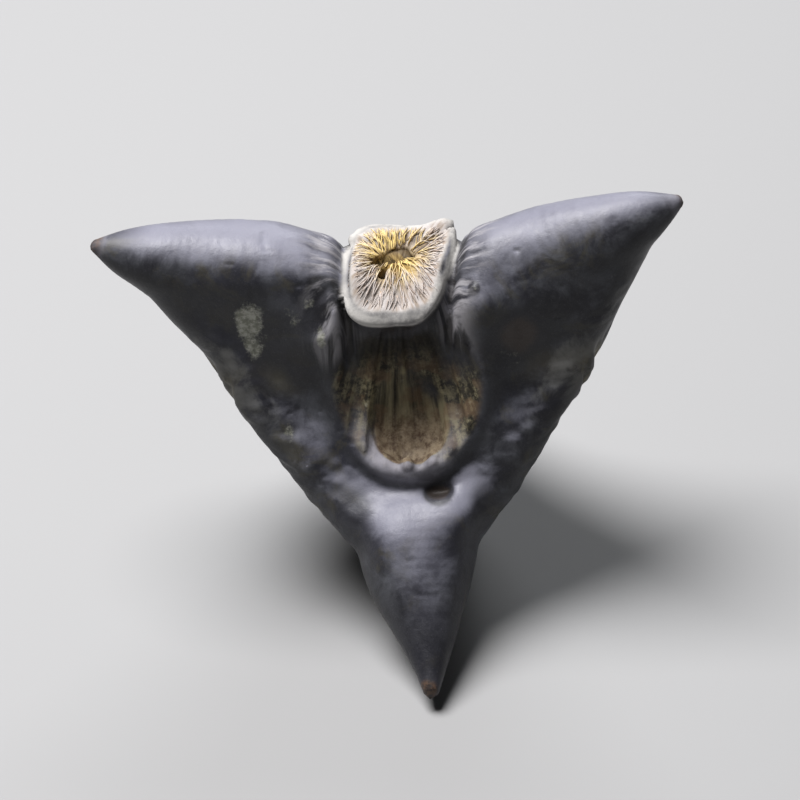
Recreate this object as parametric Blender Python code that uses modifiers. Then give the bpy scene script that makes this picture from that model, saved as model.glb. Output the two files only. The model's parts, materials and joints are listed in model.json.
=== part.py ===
"""A water caltrop nut: one hard woody shell with four horns, standing crown up on its stem scar.

The upper pair of horns spreads left and right from the shoulders, the lower pair points front and back
and slopes down to the surface. A square crown with bristle rays and a slit pore sits between the upper
horns. Below the crown, on the front and the back, a shield-shaped panel with fibrous ribs ends in a
pocket over the lower horn. Keels run from the base to the upper horns, with ribbed panels beside them.

The nut is built in its own frame, +Z through the crown, and stands leaning a little to the front (-Y)
and to the left (-X), as nuts do on an uneven scar. The origin is on the surface that it stands on.
"""

import math

import bmesh
import bpy
import numpy as np
from mathutils import Matrix, Vector

MM = 0.001

# Driving dimensions
SPAN = 44.0 * MM
CROWN_HEIGHT = 27.8 * MM
LOWER_REACH = 21.6 * MM
SCAR_RADIUS = 4.0 * MM
CRATER_RADIUS = 2.4 * MM
CROWN_WIDTH = 7.5 * MM
CROWN_DEPTH = 8.1 * MM

# How the nut stands
LEAN_FORWARD = math.radians(4.0)
LEAN_LEFT = math.radians(4.0)
SEAT = Vector((2.84, 0.44, 0.0)) * MM

# Shell relief
FACE_RIB_DEPTH = 0.36 * MM
SIDE_RIB_DEPTH = 0.18 * MM
RAY_COUNT = 14
RAY_DEPTH = 0.16 * MM
UNEVENNESS = 0.12 * MM

# Mesh
ROUGH_VOXEL = 0.7 * MM
FINE_VOXEL = 0.32 * MM
TRIANGLES = 11400
SPINE_STEPS = 3
HORN_STEPS = 8
FOOT_BAND = 0.12 * MM
FOLD_ANGLE = math.radians(95)
OPENING_ROUNDS = 20

SEED = 7


def mm_point(x, y, z):
    return np.array((x, y, z)) * MM


def curve_through(points, steps):
    """Rows of (x, y, z, radius) along a smooth curve through the given rows."""
    rows = np.array(points, float)
    ends = np.vstack((2 * rows[0] - rows[1], rows, 2 * rows[-1] - rows[-2]))
    found = []
    for i in range(1, len(ends) - 2):
        before, here, there, after = ends[i - 1 : i + 3]
        for step in range(steps):
            t = step / steps
            bend = 2 * before - 5 * here + 4 * there - after
            turn = 3 * here - before - 3 * there + after
            found.append(here + 0.5 * ((there - before) * t + bend * t**2 + turn * t**3))
    found.append(rows[-1])
    return np.array(found)


def spine(*rows, steps=SPINE_STEPS):
    """Millimetre rows of (x, y, z, radius) as a smooth spine in metres."""
    return curve_through(np.array(rows) * MM, steps)


def mirrored(rows, axis):
    turned = rows.copy()
    turned[:, axis] *= -1
    return turned


def folded(points, *axes):
    """The points, with those on the far side of each axis given brought over to the near side."""
    near = points.copy()
    near[:, axes] = np.abs(near[:, axes])
    return near


# Spines of the horns and of the ridges between them, each with its radius
HALF = SPAN / 2 / MM
REACH = LOWER_REACH / MM
TALL = CROWN_HEIGHT / MM

RIGHT_HORN = spine(
    (1.0, 0.0, TALL - 7.4, 3.9),
    (5.0, 0.0, TALL - 3.5, 4.1),
    (8.6, 0.2, TALL - 2.9, 4.1),
    (14.0, 0.7, TALL - 0.8, 3.4),
    (17.6, 1.0, TALL + 0.9, 2.1),
    (HALF - 1.2, 1.4, TALL + 2.3, 0.5),
    steps=HORN_STEPS,
)
LEFT_HORN = spine(
    (-1.0, 0.0, TALL - 7.4, 3.9),
    (-5.0, 0.0, TALL - 3.1, 4.1),
    (-8.4, 0.2, TALL - 2.2, 4.3),
    (-14.2, 0.2, TALL - 0.8, 3.5),
    (-18.6, 0.2, TALL + 0.7, 2.1),
    (-HALF + 0.2, 0.2, TALL + 2.0, 0.5),
    steps=HORN_STEPS,
)
FRONT_HORN = spine(
    (0.0, -2.5, 10.2, 5.0),
    (0.1, -8.0, 8.8, 4.5),
    (0.3, -12.0, 7.3, 3.9),
    (0.5, -15.6, 5.6, 2.65),
    (0.5, -REACH + 2.8, 4.2, 1.3),
    (0.5, -REACH + 0.6, 3.3, 0.5),
    steps=HORN_STEPS,
)
BACK_HORN = spine(
    (0.0, 2.5, 10.0, 5.0),
    (-0.2, 7.8, 8.8, 4.5),
    (-0.4, 11.4, 7.6, 3.8),
    (-0.7, 14.6, 6.2, 2.7),
    (-0.9, REACH - 4.0, 4.9, 1.6),
    (-1.0, REACH - 1.6, 3.8, 0.8),
    steps=HORN_STEPS,
)
KEEL = spine(
    (16.4, 0.8, TALL - 1.6, 1.0),
    (13.5, 0.3, 20.6, 1.7),
    (11.0, 0.0, 15.4, 1.8),
    (7.0, 0.0, 10.8, 2.0),
    (3.8, 0.0, 6.8, 2.4),
)
LOWER_WEB = spine(
    (0.0, 13.4, 4.4, 1.2),
    (0.0, 10.0, 4.6, 2.0),
    (0.0, 4.4, 3.8, 2.6),
)
EDGE = spine(
    (15.4, 0.8, TALL - 2.6, 1.0),
    (13.8, 2.2, 22.4, 1.2),
    (12.2, 2.8, 20.0, 1.5),
    (11.3, 3.7, 17.6, 1.6),
    (8.5, 5.3, 14.6, 1.8),
    (6.0, 7.0, 12.0, 1.9),
    (3.7, 8.6, 10.6, 2.1),
)
RIM = spine(
    (5.1, 3.2, 25.4, 0.9),
    (5.4, 4.2, 21.8, 1.0),
    (5.3, 4.8, 18.9, 1.0),
    (4.3, 6.1, 16.1, 0.95),
    (2.3, 7.5, 14.5, 1.0),
    (0.0, 8.0, 13.9, 1.1),
)
PANEL = spine(
    (8.0, 3.4, 5.4, 1.0),
    (11.2, 4.0, 9.8, 2.0),
    (13.6, 3.4, 14.4, 2.1),
    (16.2, 2.6, 19.6, 1.4),
)

# Half-width across and half-depth of the body at each height
WAIST = curve_through(
    np.array(
        (
            (3.5, 3.5, 5.5),
            (8.6, 5.0, 8.2),
            (12.0, 7.0, 8.5),
            (15.6, 10.2, 7.2),
            (17.8, 12.2, 5.6),
            (21.0, 13.6, 4.6),
            (25.0, 14.8, 3.8),
        )
    )
    * MM,
    SPINE_STEPS,
)

# Hollows and knobs
FACE_TILT = math.radians(19)
DISH_CENTRE = mm_point(0, 6.9, 19.6)
DISH_RADII = mm_point(5.5, 2.4, 5.3)
CUP_CENTRE = mm_point(0.1, 6.4, 17.5)
CUP_RADII = mm_point(2.9, 2.0, 3.9)
CROWN_SLANT = 0.14
EAR_HEIGHT = 0.55 * MM
SADDLE_DEPTH = 0.4 * MM
MOAT_DEPTH = 1.0 * MM
LEDGE_DEPTH = 0.35 * MM
LEDGE_CENTRE = mm_point(0.3, 9.7, 13.1)
LEDGE_RADII = mm_point(4.2, 0.8, 0.8)
NOTCH_CENTRE = mm_point(2.1, -9.5, 12.7)
NOTCH_RADII = mm_point(1.0, 0.9, 0.7)
PORE_CENTRE = mm_point(-0.2, 0.6, CROWN_HEIGHT / MM - 0.8)
PORE_RADII = mm_point(1.1, 0.55, 1.8)
KNOBS = (
    (mm_point(6.0, -3.4, 25.6), 0.4 * MM, 1.3 * MM),
    (mm_point(7.4, 0.6, 28.4), 0.45 * MM, 1.7 * MM),
    (mm_point(-6.0, -4.6, 24.0), 0.4 * MM, 1.3 * MM),
    (mm_point(7.6, -7.2, 14.2), 0.45 * MM, 1.3 * MM),
    (mm_point(-7.4, -7.2, 14.2), 0.45 * MM, 1.3 * MM),
    (mm_point(5.6, 4.6, 24.2), 0.5 * MM, 1.3 * MM),
    (mm_point(-5.8, 4.6, 24.4), 0.5 * MM, 1.3 * MM),
    (mm_point(7.6, 7.2, 14.0), 0.45 * MM, 1.3 * MM),
    (mm_point(-7.6, 7.2, 14.4), 0.45 * MM, 1.3 * MM),
    (mm_point(3.0, -11.4, 11.4), 0.8 * MM, 1.8 * MM),
    (mm_point(-1.7, -12.2, 11.2), 0.8 * MM, 2.3 * MM),
    (mm_point(2.6, 11.4, 11.6), 0.6 * MM, 1.8 * MM),
    (mm_point(-2.4, 11.4, 11.6), 0.7 * MM, 2.0 * MM),
)


def smooth_union(a, b, width):
    share = np.clip(0.5 + 0.5 * (b - a) / width, 0, 1)
    return b + (a - b) * share - width * share * (1 - share)


def smooth_cut(solid, cutter, width):
    return -smooth_union(-solid, cutter, width)


def smooth_limit(a, b, width):
    return -smooth_union(-a, -b, width)


def ellipsoid(points, centre, radii, turn=None):
    """Close to the distance from an ellipsoid, with its axes along the columns of the turn."""
    local = points - centre
    if turn is not None:
        local = local @ turn
    scaled = local / radii
    reach = np.linalg.norm(scaled, axis=1)
    slope = np.linalg.norm(scaled / radii, axis=1)
    return reach * (reach - 1) / np.maximum(slope, 1e-9)


def limb(points, rows, squeeze=(1, 1, 1)):
    """Distance to a tapering tube along the rows. A squeeze over 1 makes it thinner along that axis."""
    scale = np.array(squeeze)
    moved = points * scale
    nearest = np.full(len(points), np.inf)
    for start, end in zip(rows, rows[1:]):
        foot = start[:3] * scale
        along = end[:3] * scale - foot
        from_foot = moved - foot
        share = np.clip(from_foot @ along / (along @ along), 0, 1)
        gap = from_foot - share[:, None] * along
        radius = start[3] + (end[3] - start[3]) * share
        away = np.sqrt(np.einsum("ij,ij->i", gap, gap))
        nearest = np.minimum(nearest, away - radius)
    return nearest


def rolling(points, size, seed):
    """Soft unevenness, mostly between -1 and 1, with bumps of the given size."""
    random = np.random.default_rng(seed)
    total = np.zeros(len(points))
    waves = 12
    for _ in range(waves):
        way = random.normal(size=3)
        way *= random.uniform(0.6, 1.5) * math.tau / size / np.linalg.norm(way)
        total += np.sin(points @ way + random.uniform(0, math.tau))
    return total / math.sqrt(waves)


def fade(value, start, end):
    share = np.clip((value - start) / (end - start), 0, 1)
    return share * share * (3 - 2 * share)


def face_axes(side):
    """Axes of a lower face, across, into it and up it. The side is -1 for the front and 1 for the back."""
    return np.array(Matrix.Rotation(side * FACE_TILT, 3, "X"))


def crown_top(x, y):
    """Height of the crown's face: level at the back, rounded down to the front lip, with raised corners."""
    forward = np.clip((2.9 * MM - y) / (8 * MM), 0, 1.2)
    middle = y + 0.9 * MM
    corner = np.clip(np.abs(x) / (3.8 * MM), 0, 1.1) ** 3 * np.clip(np.abs(middle) / (4 * MM), 0, 1.1) ** 2
    ear = np.exp(-(((x - 3.6 * MM) / (1.3 * MM)) ** 2) - ((y - 2.4 * MM) / (1.6 * MM)) ** 2)
    return CROWN_HEIGHT - (0.5 * forward + 1.9 * forward**3) * MM + 0.4 * MM * corner + EAR_HEIGHT * ear


def crown_plan(points, flare=1.0):
    """Distance outside the collar's outline, seen from above: a square that slants to the left in front."""
    y = points[:, 1] + 0.9 * MM
    x = points[:, 0] - CROWN_SLANT * np.clip(y, -5 * MM, 5 * MM)
    half_x = CROWN_WIDTH / 2 * flare * (1 + 0.03 * np.clip(y / MM, -4, 4))
    half_y = CROWN_DEPTH / 2 * flare
    return ((np.abs(x / half_x) ** 4.5 + np.abs(y / half_y) ** 4.5) ** (1 / 4.5) - 1) * half_y


def crown(points):
    """The square collar, wider at its rim than at its foot."""
    z = points[:, 2]
    flare = np.clip(1 + 0.11 * (z - crown_top(points[:, 0], points[:, 1]) + 0.4 * MM) / MM, 0.6, 1.04)
    top = z - crown_top(points[:, 0], points[:, 1])
    foot = CROWN_HEIGHT - 6.5 * MM - z
    solid = smooth_limit(smooth_limit(crown_plan(points, flare), top, 0.4 * MM), foot, 0.6 * MM)
    bowl = ellipsoid(points, mm_point(0, -0.1, CROWN_HEIGHT / MM + 0.5), mm_point(3.0, 2.4, 1.4))
    return smooth_cut(solid, bowl, 0.5 * MM) - crown_rays(points)


def moat(points):
    """How far the body falls away round the collar's foot."""
    beside = np.exp(-(((crown_plan(points) - 0.5 * MM) / (0.8 * MM)) ** 2))
    return MOAT_DEPTH * beside * fade(points[:, 2], CROWN_HEIGHT - 9 * MM, CROWN_HEIGHT - 5.5 * MM)


def crown_rays(points):
    """How far the bristle rays round the pore raise the crown's face."""
    x, y = points[:, 0], points[:, 1] - PORE_CENTRE[1]
    away = np.hypot(x, y)
    ray = np.cos(RAY_COUNT * np.arctan2(y, x) + 1.2 * np.sin(away / MM * 1.3))
    share = fade(away, 0.9 * MM, 1.6 * MM) * (1 - fade(away, 4.2 * MM, 5.8 * MM))
    share *= 1 - fade(np.abs(x), 3.4 * MM, 4.0 * MM)
    share *= 1 - fade(points[:, 1], 1.6 * MM, 2.8 * MM)
    height = points[:, 2] - crown_top(x, points[:, 1])
    return RAY_DEPTH * ray * share * fade(height, -1.6 * MM, -0.8 * MM)


def pore(points):
    """A slanting slit in the crown's face."""
    return ellipsoid(points, PORE_CENTRE, PORE_RADII, np.array(Matrix.Rotation(math.radians(35), 3, "Z")))


def face_hollows(points, side):
    """The shield-shaped dish of a lower face, and the cup in it that ends in a crisp lip."""
    flip = np.array((1, side, 1))
    axes = face_axes(side)
    dish = ellipsoid(points, DISH_CENTRE * flip, DISH_RADII, axes)
    cup = ellipsoid(points, CUP_CENTRE * flip, CUP_RADII, axes)
    return dish, cup


def face_ribs(points, dish):
    """Ribs that fan down the dish from above the crown."""
    fan = np.arctan2(points[:, 0], CROWN_HEIGHT + 4 * MM - points[:, 2])
    wave = 0.6 * np.cos(fan * 62 + 0.4) + 0.4 * np.cos(fan * 35 + 1.1)
    return FACE_RIB_DEPTH * wave * fade(-dish, -0.5 * MM, 0.2 * MM)


def side_ribs(points):
    """Ribs that run up each side face beside its keel, from the base to the upper horn."""
    x, y, z = np.abs(points[:, 0]), np.abs(points[:, 1]), points[:, 2]
    middle = 3.1 * MM - 0.07 * (z - 12 * MM)
    inside = 1 - fade(np.abs(y - middle), 1.0 * MM, 2.4 * MM)
    inside *= fade(x, 5.0 * MM, 6.5 * MM) * fade(z, 4 * MM, 7 * MM) * (1 - fade(z, 18 * MM, 22 * MM))
    wave = np.cos(y / MM * 5.2 + 0.8 * np.sin(z / MM * 0.6 + x / MM * 0.3))
    return SIDE_RIB_DEPTH * inside * wave


def stem_scar(upright):
    """The boss at the base and the crater in it, both square to the surface that the nut stands on."""
    away = np.hypot(upright[:, 0], upright[:, 1])
    z = upright[:, 2]
    side = away - SCAR_RADIUS - 0.12 * z
    boss = smooth_limit(smooth_limit(side, -z, 0.7 * MM), z - 5 * MM, 0.7 * MM)
    crater = smooth_limit(away - CRATER_RADIUS + 0.2 * z, z - 1.3 * MM, 0.5 * MM)
    return boss, crater


def waist(own):
    """The body between the horns: wide across at the top, deep from front to back at the bottom."""
    half_x = np.interp(own[:, 2], WAIST[:, 0], WAIST[:, 1])
    half_y = np.interp(own[:, 2], WAIST[:, 0], WAIST[:, 2])
    plan = (np.abs(own[:, 0] / half_x) ** 4 + np.abs(own[:, 1] / half_y) ** 4) ** 0.25
    sides = (plan - 1) * np.minimum(half_x, half_y)
    level = smooth_limit(own[:, 2] - WAIST[-1, 0], WAIST[0, 0] - own[:, 2], MM)
    return smooth_limit(sides, level, 3 * MM)


def body_form(own):
    """The horns, keels and ridges grown together, without the hollows."""
    own = own + 0.3 * MM * np.stack([rolling(own, 24 * MM, SEED + i) for i in range(3)], axis=1)
    body = waist(own)
    for rows in (RIGHT_HORN, LEFT_HORN):
        body = smooth_union(body, limb(own, rows, (1, 1.08, 1)), 2.4 * MM)
    for rows in (FRONT_HORN, BACK_HORN):
        body = smooth_union(body, limb(own, rows), 1.6 * MM)
    body = smooth_union(body, limb(folded(own, 0), KEEL), 2.0 * MM)
    body = smooth_union(body, limb(folded(own, 1), LOWER_WEB), 2.0 * MM)
    body = smooth_union(body, limb(folded(own, 0, 1), EDGE), 1.6 * MM)
    body = smooth_union(body, limb(folded(own, 0, 1), RIM), 1.0 * MM)
    body = smooth_cut(body, limb(folded(own, 0, 1), PANEL), 1.2 * MM)
    saddle = own[:, 2] - CROWN_HEIGHT + SADDLE_DEPTH - 0.06 * own[:, 0] ** 2 / MM
    return smooth_limit(body, saddle, 0.9 * MM) + moat(own)


def nut_form(points):
    """Below zero inside the nut, above zero outside, close to the distance from its surface."""
    upright = points - np.array(SEAT)
    own = upright @ STAND
    body = body_form(own)
    body = body - side_ribs(own)
    for side in (-1, 1):
        dish, cup = face_hollows(own, side)
        body = smooth_cut(body, dish, 1.0 * MM)
        body = smooth_cut(body, cup, 0.25 * MM)
        ledge = ((own - LEDGE_CENTRE * (1, side, 1)) @ face_axes(side) / LEDGE_RADII) ** 2
        body = body + LEDGE_DEPTH * np.exp(-ledge.sum(axis=1))
        body = body - face_ribs(own, dish)
    for centre, height, width in KNOBS:
        body = body - height * np.exp(-(((own - centre) / width) ** 2).sum(axis=1))
    body = smooth_cut(body, ellipsoid(own, NOTCH_CENTRE, NOTCH_RADII), 0.6 * MM)
    body = smooth_union(body, crown(own), 0.6 * MM)
    body = smooth_cut(body, pore(own), 0.3 * MM)
    body = body - UNEVENNESS * rolling(own, 8 * MM, SEED)
    boss, crater = stem_scar(upright)
    body = smooth_union(body, boss, 1.2 * MM)
    return smooth_cut(body, crater, 0.4 * MM)


STAND = np.array(Matrix.Rotation(LEAN_FORWARD, 3, "X") @ Matrix.Rotation(-LEAN_LEFT, 3, "Y"))


def drawn_onto_form(points, steps=7):
    """Moves points along the form's slope until they lie on its surface."""
    reach = 0.02 * MM
    corners = np.array(((1, -1, -1), (-1, -1, 1), (-1, 1, -1), (1, 1, 1)), float)
    points = points.copy()
    unsettled = np.arange(len(points))
    for _ in range(steps):
        here = points[unsettled]
        heights = np.stack([nut_form(here + reach * corner) for corner in corners], axis=1)
        slope = heights @ corners / (4 * reach)
        height = heights.mean(axis=1)
        steep = np.maximum((slope**2).sum(axis=1), 0.15)
        move = slope * (height / steep)[:, None]
        length = np.linalg.norm(move, axis=1)
        move *= np.minimum(1, 0.6 * MM / np.maximum(length, 1e-12))[:, None]
        points[unsettled] = here - move
        unsettled = unsettled[length > 0.004 * MM]
        if not len(unsettled):
            break
    return points


def tube(rows):
    """A curve object along the rows, as thick as they say."""
    data = bpy.data.curves.new("tube", "CURVE")
    data.dimensions = "3D"
    data.bevel_depth = MM
    data.bevel_resolution = 3
    data.use_fill_caps = True
    spline = data.splines.new("POLY")
    spline.points.add(len(rows) - 1)
    for point, row in zip(spline.points, rows):
        point.co = (*row[:3], 1)
        point.radius = row[3] / MM
    obj = bpy.data.objects.new("tube", data)
    bpy.context.scene.collection.objects.link(obj)
    return obj


def add_waist(shell):
    """A loft through the waist's outlines, kept a little inside them so that the hollows miss it."""
    inset = np.array((1.0, 1.7)) * MM
    rings = []
    for height, *halves in WAIST:
        half_x, half_y = np.array(halves) - inset
        ring = []
        for turn in np.linspace(0, math.tau, 48, endpoint=False):
            across, deep = math.cos(turn), math.sin(turn)
            reach = (abs(across) ** 4 + abs(deep) ** 4) ** -0.25
            ring.append(shell.verts.new((half_x * reach * across, half_y * reach * deep, height)))
        rings.append(ring)
    for low, high in zip(rings, rings[1:]):
        for i in range(len(low)):
            shell.faces.new((low[i - 1], low[i], high[i], high[i - 1]))
    shell.faces.new(rings[0][::-1])
    shell.faces.new(rings[-1])


def rough_nut():
    """The main masses joined in one mesh, in the place where the nut stands."""
    shell = bmesh.new()
    spines = [RIGHT_HORN, LEFT_HORN, FRONT_HORN, BACK_HORN, LOWER_WEB, mirrored(LOWER_WEB, 1)]
    for ridge in (KEEL, EDGE):
        spines += [ridge, mirrored(ridge, 0), mirrored(ridge, 1), mirrored(mirrored(ridge, 0), 1)]
    tubes = [tube(rows) for rows in spines]
    bpy.context.view_layer.update()
    graph = bpy.context.evaluated_depsgraph_get()
    for obj in tubes:
        mesh = bpy.data.meshes.new_from_object(obj.evaluated_get(graph))
        shell.from_mesh(mesh)
        bpy.data.meshes.remove(mesh)
    for obj in tubes:
        data = obj.data
        bpy.data.objects.remove(obj)
        bpy.data.curves.remove(data)
    add_waist(shell)
    size = Matrix.Diagonal((CROWN_WIDTH * 0.9, CROWN_DEPTH * 0.9, 5 * MM, 1))
    place = Matrix.Translation((0, -0.9 * MM, CROWN_HEIGHT - 3.2 * MM)) @ size
    bmesh.ops.create_cube(shell, size=1, matrix=place)
    bmesh.ops.transform(shell, matrix=Matrix(STAND.tolist()).to_4x4(), verts=shell.verts)
    bmesh.ops.create_cone(
        shell,
        cap_ends=True,
        segments=32,
        radius1=SCAR_RADIUS,
        radius2=SCAR_RADIUS * 1.1,
        depth=5 * MM,
        matrix=Matrix.Translation((0, 0, 2.5 * MM)),
    )
    bmesh.ops.translate(shell, vec=SEAT, verts=shell.verts)
    mesh = bpy.data.meshes.new("nut")
    shell.to_mesh(mesh)
    shell.free()
    return mesh


def evaluated_mesh(obj, name):
    """The object's mesh with its modifiers worked in."""
    bpy.context.view_layer.update()
    graph = bpy.context.evaluated_depsgraph_get()
    mesh = bpy.data.meshes.new_from_object(obj.evaluated_get(graph))
    mesh.name = name
    return mesh


def evened(shell, verts):
    """Moves the vertices halfway to the middle of their neighbours."""
    axes = {"use_axis_x": True, "use_axis_y": True, "use_axis_z": True}
    bmesh.ops.smooth_vert(shell, verts=verts, factor=0.5, **axes)


def drawn(mesh):
    """Draws the mesh onto the form twice, and evens out its faces between the draws."""
    shell = bmesh.new()
    shell.from_mesh(mesh)
    for turn in range(2):
        if turn:
            evened(shell, shell.verts)
        points = drawn_onto_form(np.array([vert.co for vert in shell.verts]))
        for vert, point in zip(shell.verts, points):
            vert.co = point
    shell.to_mesh(mesh)
    shell.free()


def remeshed(obj, voxel):
    """Gives the object even faces of the voxel's size, drawn onto the form."""
    remesh = obj.modifiers.new("even_faces", "REMESH")
    remesh.mode = "VOXEL"
    remesh.voxel_size = voxel
    mesh = evaluated_mesh(obj, "nut")
    obj.modifiers.clear()
    old = obj.data
    obj.data = mesh
    bpy.data.meshes.remove(old)
    drawn(mesh)


def thinned(obj, triangles):
    """Takes faces away where the surface is plain, and leaves them where it bends."""
    sides = sum(len(face.vertices) - 2 for face in obj.data.polygons)
    decimate = obj.modifiers.new("fewer_faces", "DECIMATE")
    decimate.ratio = triangles / sides
    mesh = evaluated_mesh(obj, "nut")
    obj.modifiers.clear()
    old = obj.data
    obj.data = mesh
    bpy.data.meshes.remove(old)


def finished(mesh):
    """Presses the rim of the stem scar flat onto the surface, and opens out the few faces that lie folded."""
    shell = bmesh.new()
    shell.from_mesh(mesh)
    bmesh.ops.triangulate(shell, faces=shell.faces)
    for vert in shell.verts:
        if vert.co.z < FOOT_BAND:
            vert.co.z = 0.0
    for _ in range(OPENING_ROUNDS):
        folds = [edge for edge in shell.edges if edge.calc_face_angle(0.0) > FOLD_ANGLE]
        ends = {vert for edge in folds for vert in edge.verts}
        around = {near for vert in ends for edge in vert.link_edges for near in edge.verts if near.co.z > 0}
        if not around:
            break
        evened(shell, list(around))
    shell.to_mesh(mesh)
    shell.free()


def shell_material():
    material = bpy.data.materials.new("nutshell")
    material.use_nodes = True
    surface = material.node_tree.nodes["Principled BSDF"]
    surface.inputs["Base Color"].default_value = (0.075, 0.078, 0.088, 1)
    surface.inputs["Roughness"].default_value = 0.55
    surface.inputs["Metallic"].default_value = 0.0
    return material


def make_nut():
    obj = bpy.data.objects.new("nut", rough_nut())
    home = bpy.data.collections.new("water_caltrop_nut")
    bpy.context.scene.collection.children.link(home)
    home.objects.link(obj)
    for voxel in (ROUGH_VOXEL, 0.75 * ROUGH_VOXEL, FINE_VOXEL):
        remeshed(obj, voxel)
    thinned(obj, TRIANGLES)
    finished(obj.data)
    obj.data.materials.clear()
    obj.data.materials.append(shell_material())
    obj.data.shade_smooth()
    return obj


def main():
    for obj in list(bpy.data.objects):
        bpy.data.objects.remove(obj)
    make_nut()


main()
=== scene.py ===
"""Water caltrop nut, dressed: the fine shell with its dusty finish, the bristles on its crown, and a stage.

The shell is drawn again on the same form as the nut's solid, with finer faces and the fine relief of the
real nut: fibres in the hollows, wrinkles round the collar, pits, blisters and worn ridges. The nut's own
frame has +Z through the crown. It leans a little to the front (-Y) and to the left (-X) as it stands.
"""

import itertools
import json
import math

import bmesh
import bpy
import numpy as np
from mathutils import Matrix, Vector


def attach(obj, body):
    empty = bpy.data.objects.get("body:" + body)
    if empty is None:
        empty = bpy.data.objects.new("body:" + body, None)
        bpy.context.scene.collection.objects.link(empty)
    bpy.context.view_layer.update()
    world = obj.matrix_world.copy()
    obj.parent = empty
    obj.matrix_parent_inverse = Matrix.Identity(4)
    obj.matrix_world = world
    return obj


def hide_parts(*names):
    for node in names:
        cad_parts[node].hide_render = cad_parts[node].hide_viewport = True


bl_info = {
    "name": "Water Caltrop Nut",
    "version": (1, 0, 0),
    "blender": (4, 5, 0),
    "location": "View3D > Sidebar > Caltrop",
    "description": "Dresses the solid of a water caltrop nut with its fine shell and bristles",
    "category": "Add Mesh",
}

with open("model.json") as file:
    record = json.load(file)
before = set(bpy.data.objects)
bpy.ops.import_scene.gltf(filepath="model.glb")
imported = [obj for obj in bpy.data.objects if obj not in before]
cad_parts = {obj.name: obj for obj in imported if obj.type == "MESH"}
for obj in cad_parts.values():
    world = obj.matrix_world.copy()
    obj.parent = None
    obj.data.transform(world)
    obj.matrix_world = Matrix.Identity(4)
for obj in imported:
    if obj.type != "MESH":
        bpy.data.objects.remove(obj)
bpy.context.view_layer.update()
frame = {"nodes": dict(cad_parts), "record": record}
NUT = frame["nodes"]["nut"]
SHELL_TONE = tuple(frame["record"]["materials"][0]["base_color"])

MM = 0.001
SEED = 7

# Driving dimensions of the nut, the same as its solid has
SPAN = 44.0 * MM
CROWN_HEIGHT = 27.8 * MM
LOWER_REACH = 21.6 * MM
SCAR_RADIUS = 4.0 * MM
CRATER_RADIUS = 2.4 * MM
CROWN_WIDTH = 7.5 * MM
CROWN_DEPTH = 8.1 * MM
LEAN_FORWARD = math.radians(4.0)
LEAN_LEFT = math.radians(4.0)
SEAT = Vector((2.84, 0.44, 0.0)) * MM
STAND = Matrix.Rotation(LEAN_FORWARD, 3, "X") @ Matrix.Rotation(-LEAN_LEFT, 3, "Y")

# Relief that the solid has too
FACE_RIB_DEPTH = 0.36 * MM
SIDE_RIB_DEPTH = 0.18 * MM
RAY_COUNT = 14
RAY_DEPTH = 0.16 * MM
UNEVENNESS = 0.12 * MM
CROWN_SLANT = 0.18
EAR_HEIGHT = 0.55 * MM
SADDLE_DEPTH = 0.4 * MM
MOAT_DEPTH = 0.9 * MM
LEDGE_DEPTH = 0.22 * MM
SPINE_STEPS = 3
HORN_STEPS = 8
FOOT_BAND = 0.12 * MM

# Mesh of the fine shell
FIRST_VOXEL = 0.34 * MM
FINE_VOXEL = 0.165 * MM
SHELL_TRIANGLES = 190000


def mm_point(x, y, z):
    return np.array((x, y, z)) * MM


def curve_through(points, steps):
    """Rows of (x, y, z, radius) along a smooth curve through the given rows."""
    rows = np.array(points, float)
    ends = np.vstack((2 * rows[0] - rows[1], rows, 2 * rows[-1] - rows[-2]))
    found = []
    for i in range(1, len(ends) - 2):
        before, here, there, after = ends[i - 1 : i + 3]
        for step in range(steps):
            t = step / steps
            bend = 2 * before - 5 * here + 4 * there - after
            turn = 3 * here - before - 3 * there + after
            found.append(here + 0.5 * ((there - before) * t + bend * t**2 + turn * t**3))
    found.append(rows[-1])
    return np.array(found)


def spine(*rows, steps=SPINE_STEPS):
    """Millimetre rows of (x, y, z, radius) as a smooth spine in metres."""
    return curve_through(np.array(rows) * MM, steps)


def folded(points, *axes):
    """The points, with those on the far side of each axis given brought over to the near side."""
    near = points.copy()
    near[:, axes] = np.abs(near[:, axes])
    return near


# Spines of the horns and of the ridges between them, each with its radius
HALF = SPAN / 2 / MM
REACH = LOWER_REACH / MM
TALL = CROWN_HEIGHT / MM

RIGHT_HORN = spine(
    (1.0, 0.0, TALL - 7.4, 3.9),
    (5.0, 0.0, TALL - 3.5, 4.1),
    (8.6, 0.2, TALL - 2.9, 4.1),
    (14.0, 0.7, TALL - 0.8, 3.4),
    (17.6, 1.0, TALL + 0.9, 2.1),
    (HALF - 1.2, 1.4, TALL + 2.3, 0.5),
    steps=HORN_STEPS,
)
LEFT_HORN = spine(
    (-1.0, 0.0, TALL - 7.4, 3.9),
    (-5.0, 0.0, TALL - 3.1, 4.1),
    (-8.4, 0.2, TALL - 2.2, 4.3),
    (-14.2, 0.2, TALL - 0.8, 3.5),
    (-18.6, 0.2, TALL + 0.7, 2.1),
    (-HALF + 0.2, 0.2, TALL + 2.0, 0.5),
    steps=HORN_STEPS,
)
FRONT_HORN = spine(
    (0.0, -2.5, 10.2, 5.0),
    (0.1, -8.0, 8.8, 4.5),
    (0.3, -12.0, 7.3, 3.9),
    (0.5, -15.6, 5.6, 2.65),
    (0.5, -REACH + 2.8, 4.2, 1.3),
    (0.5, -REACH + 0.6, 3.3, 0.5),
    steps=HORN_STEPS,
)
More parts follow.
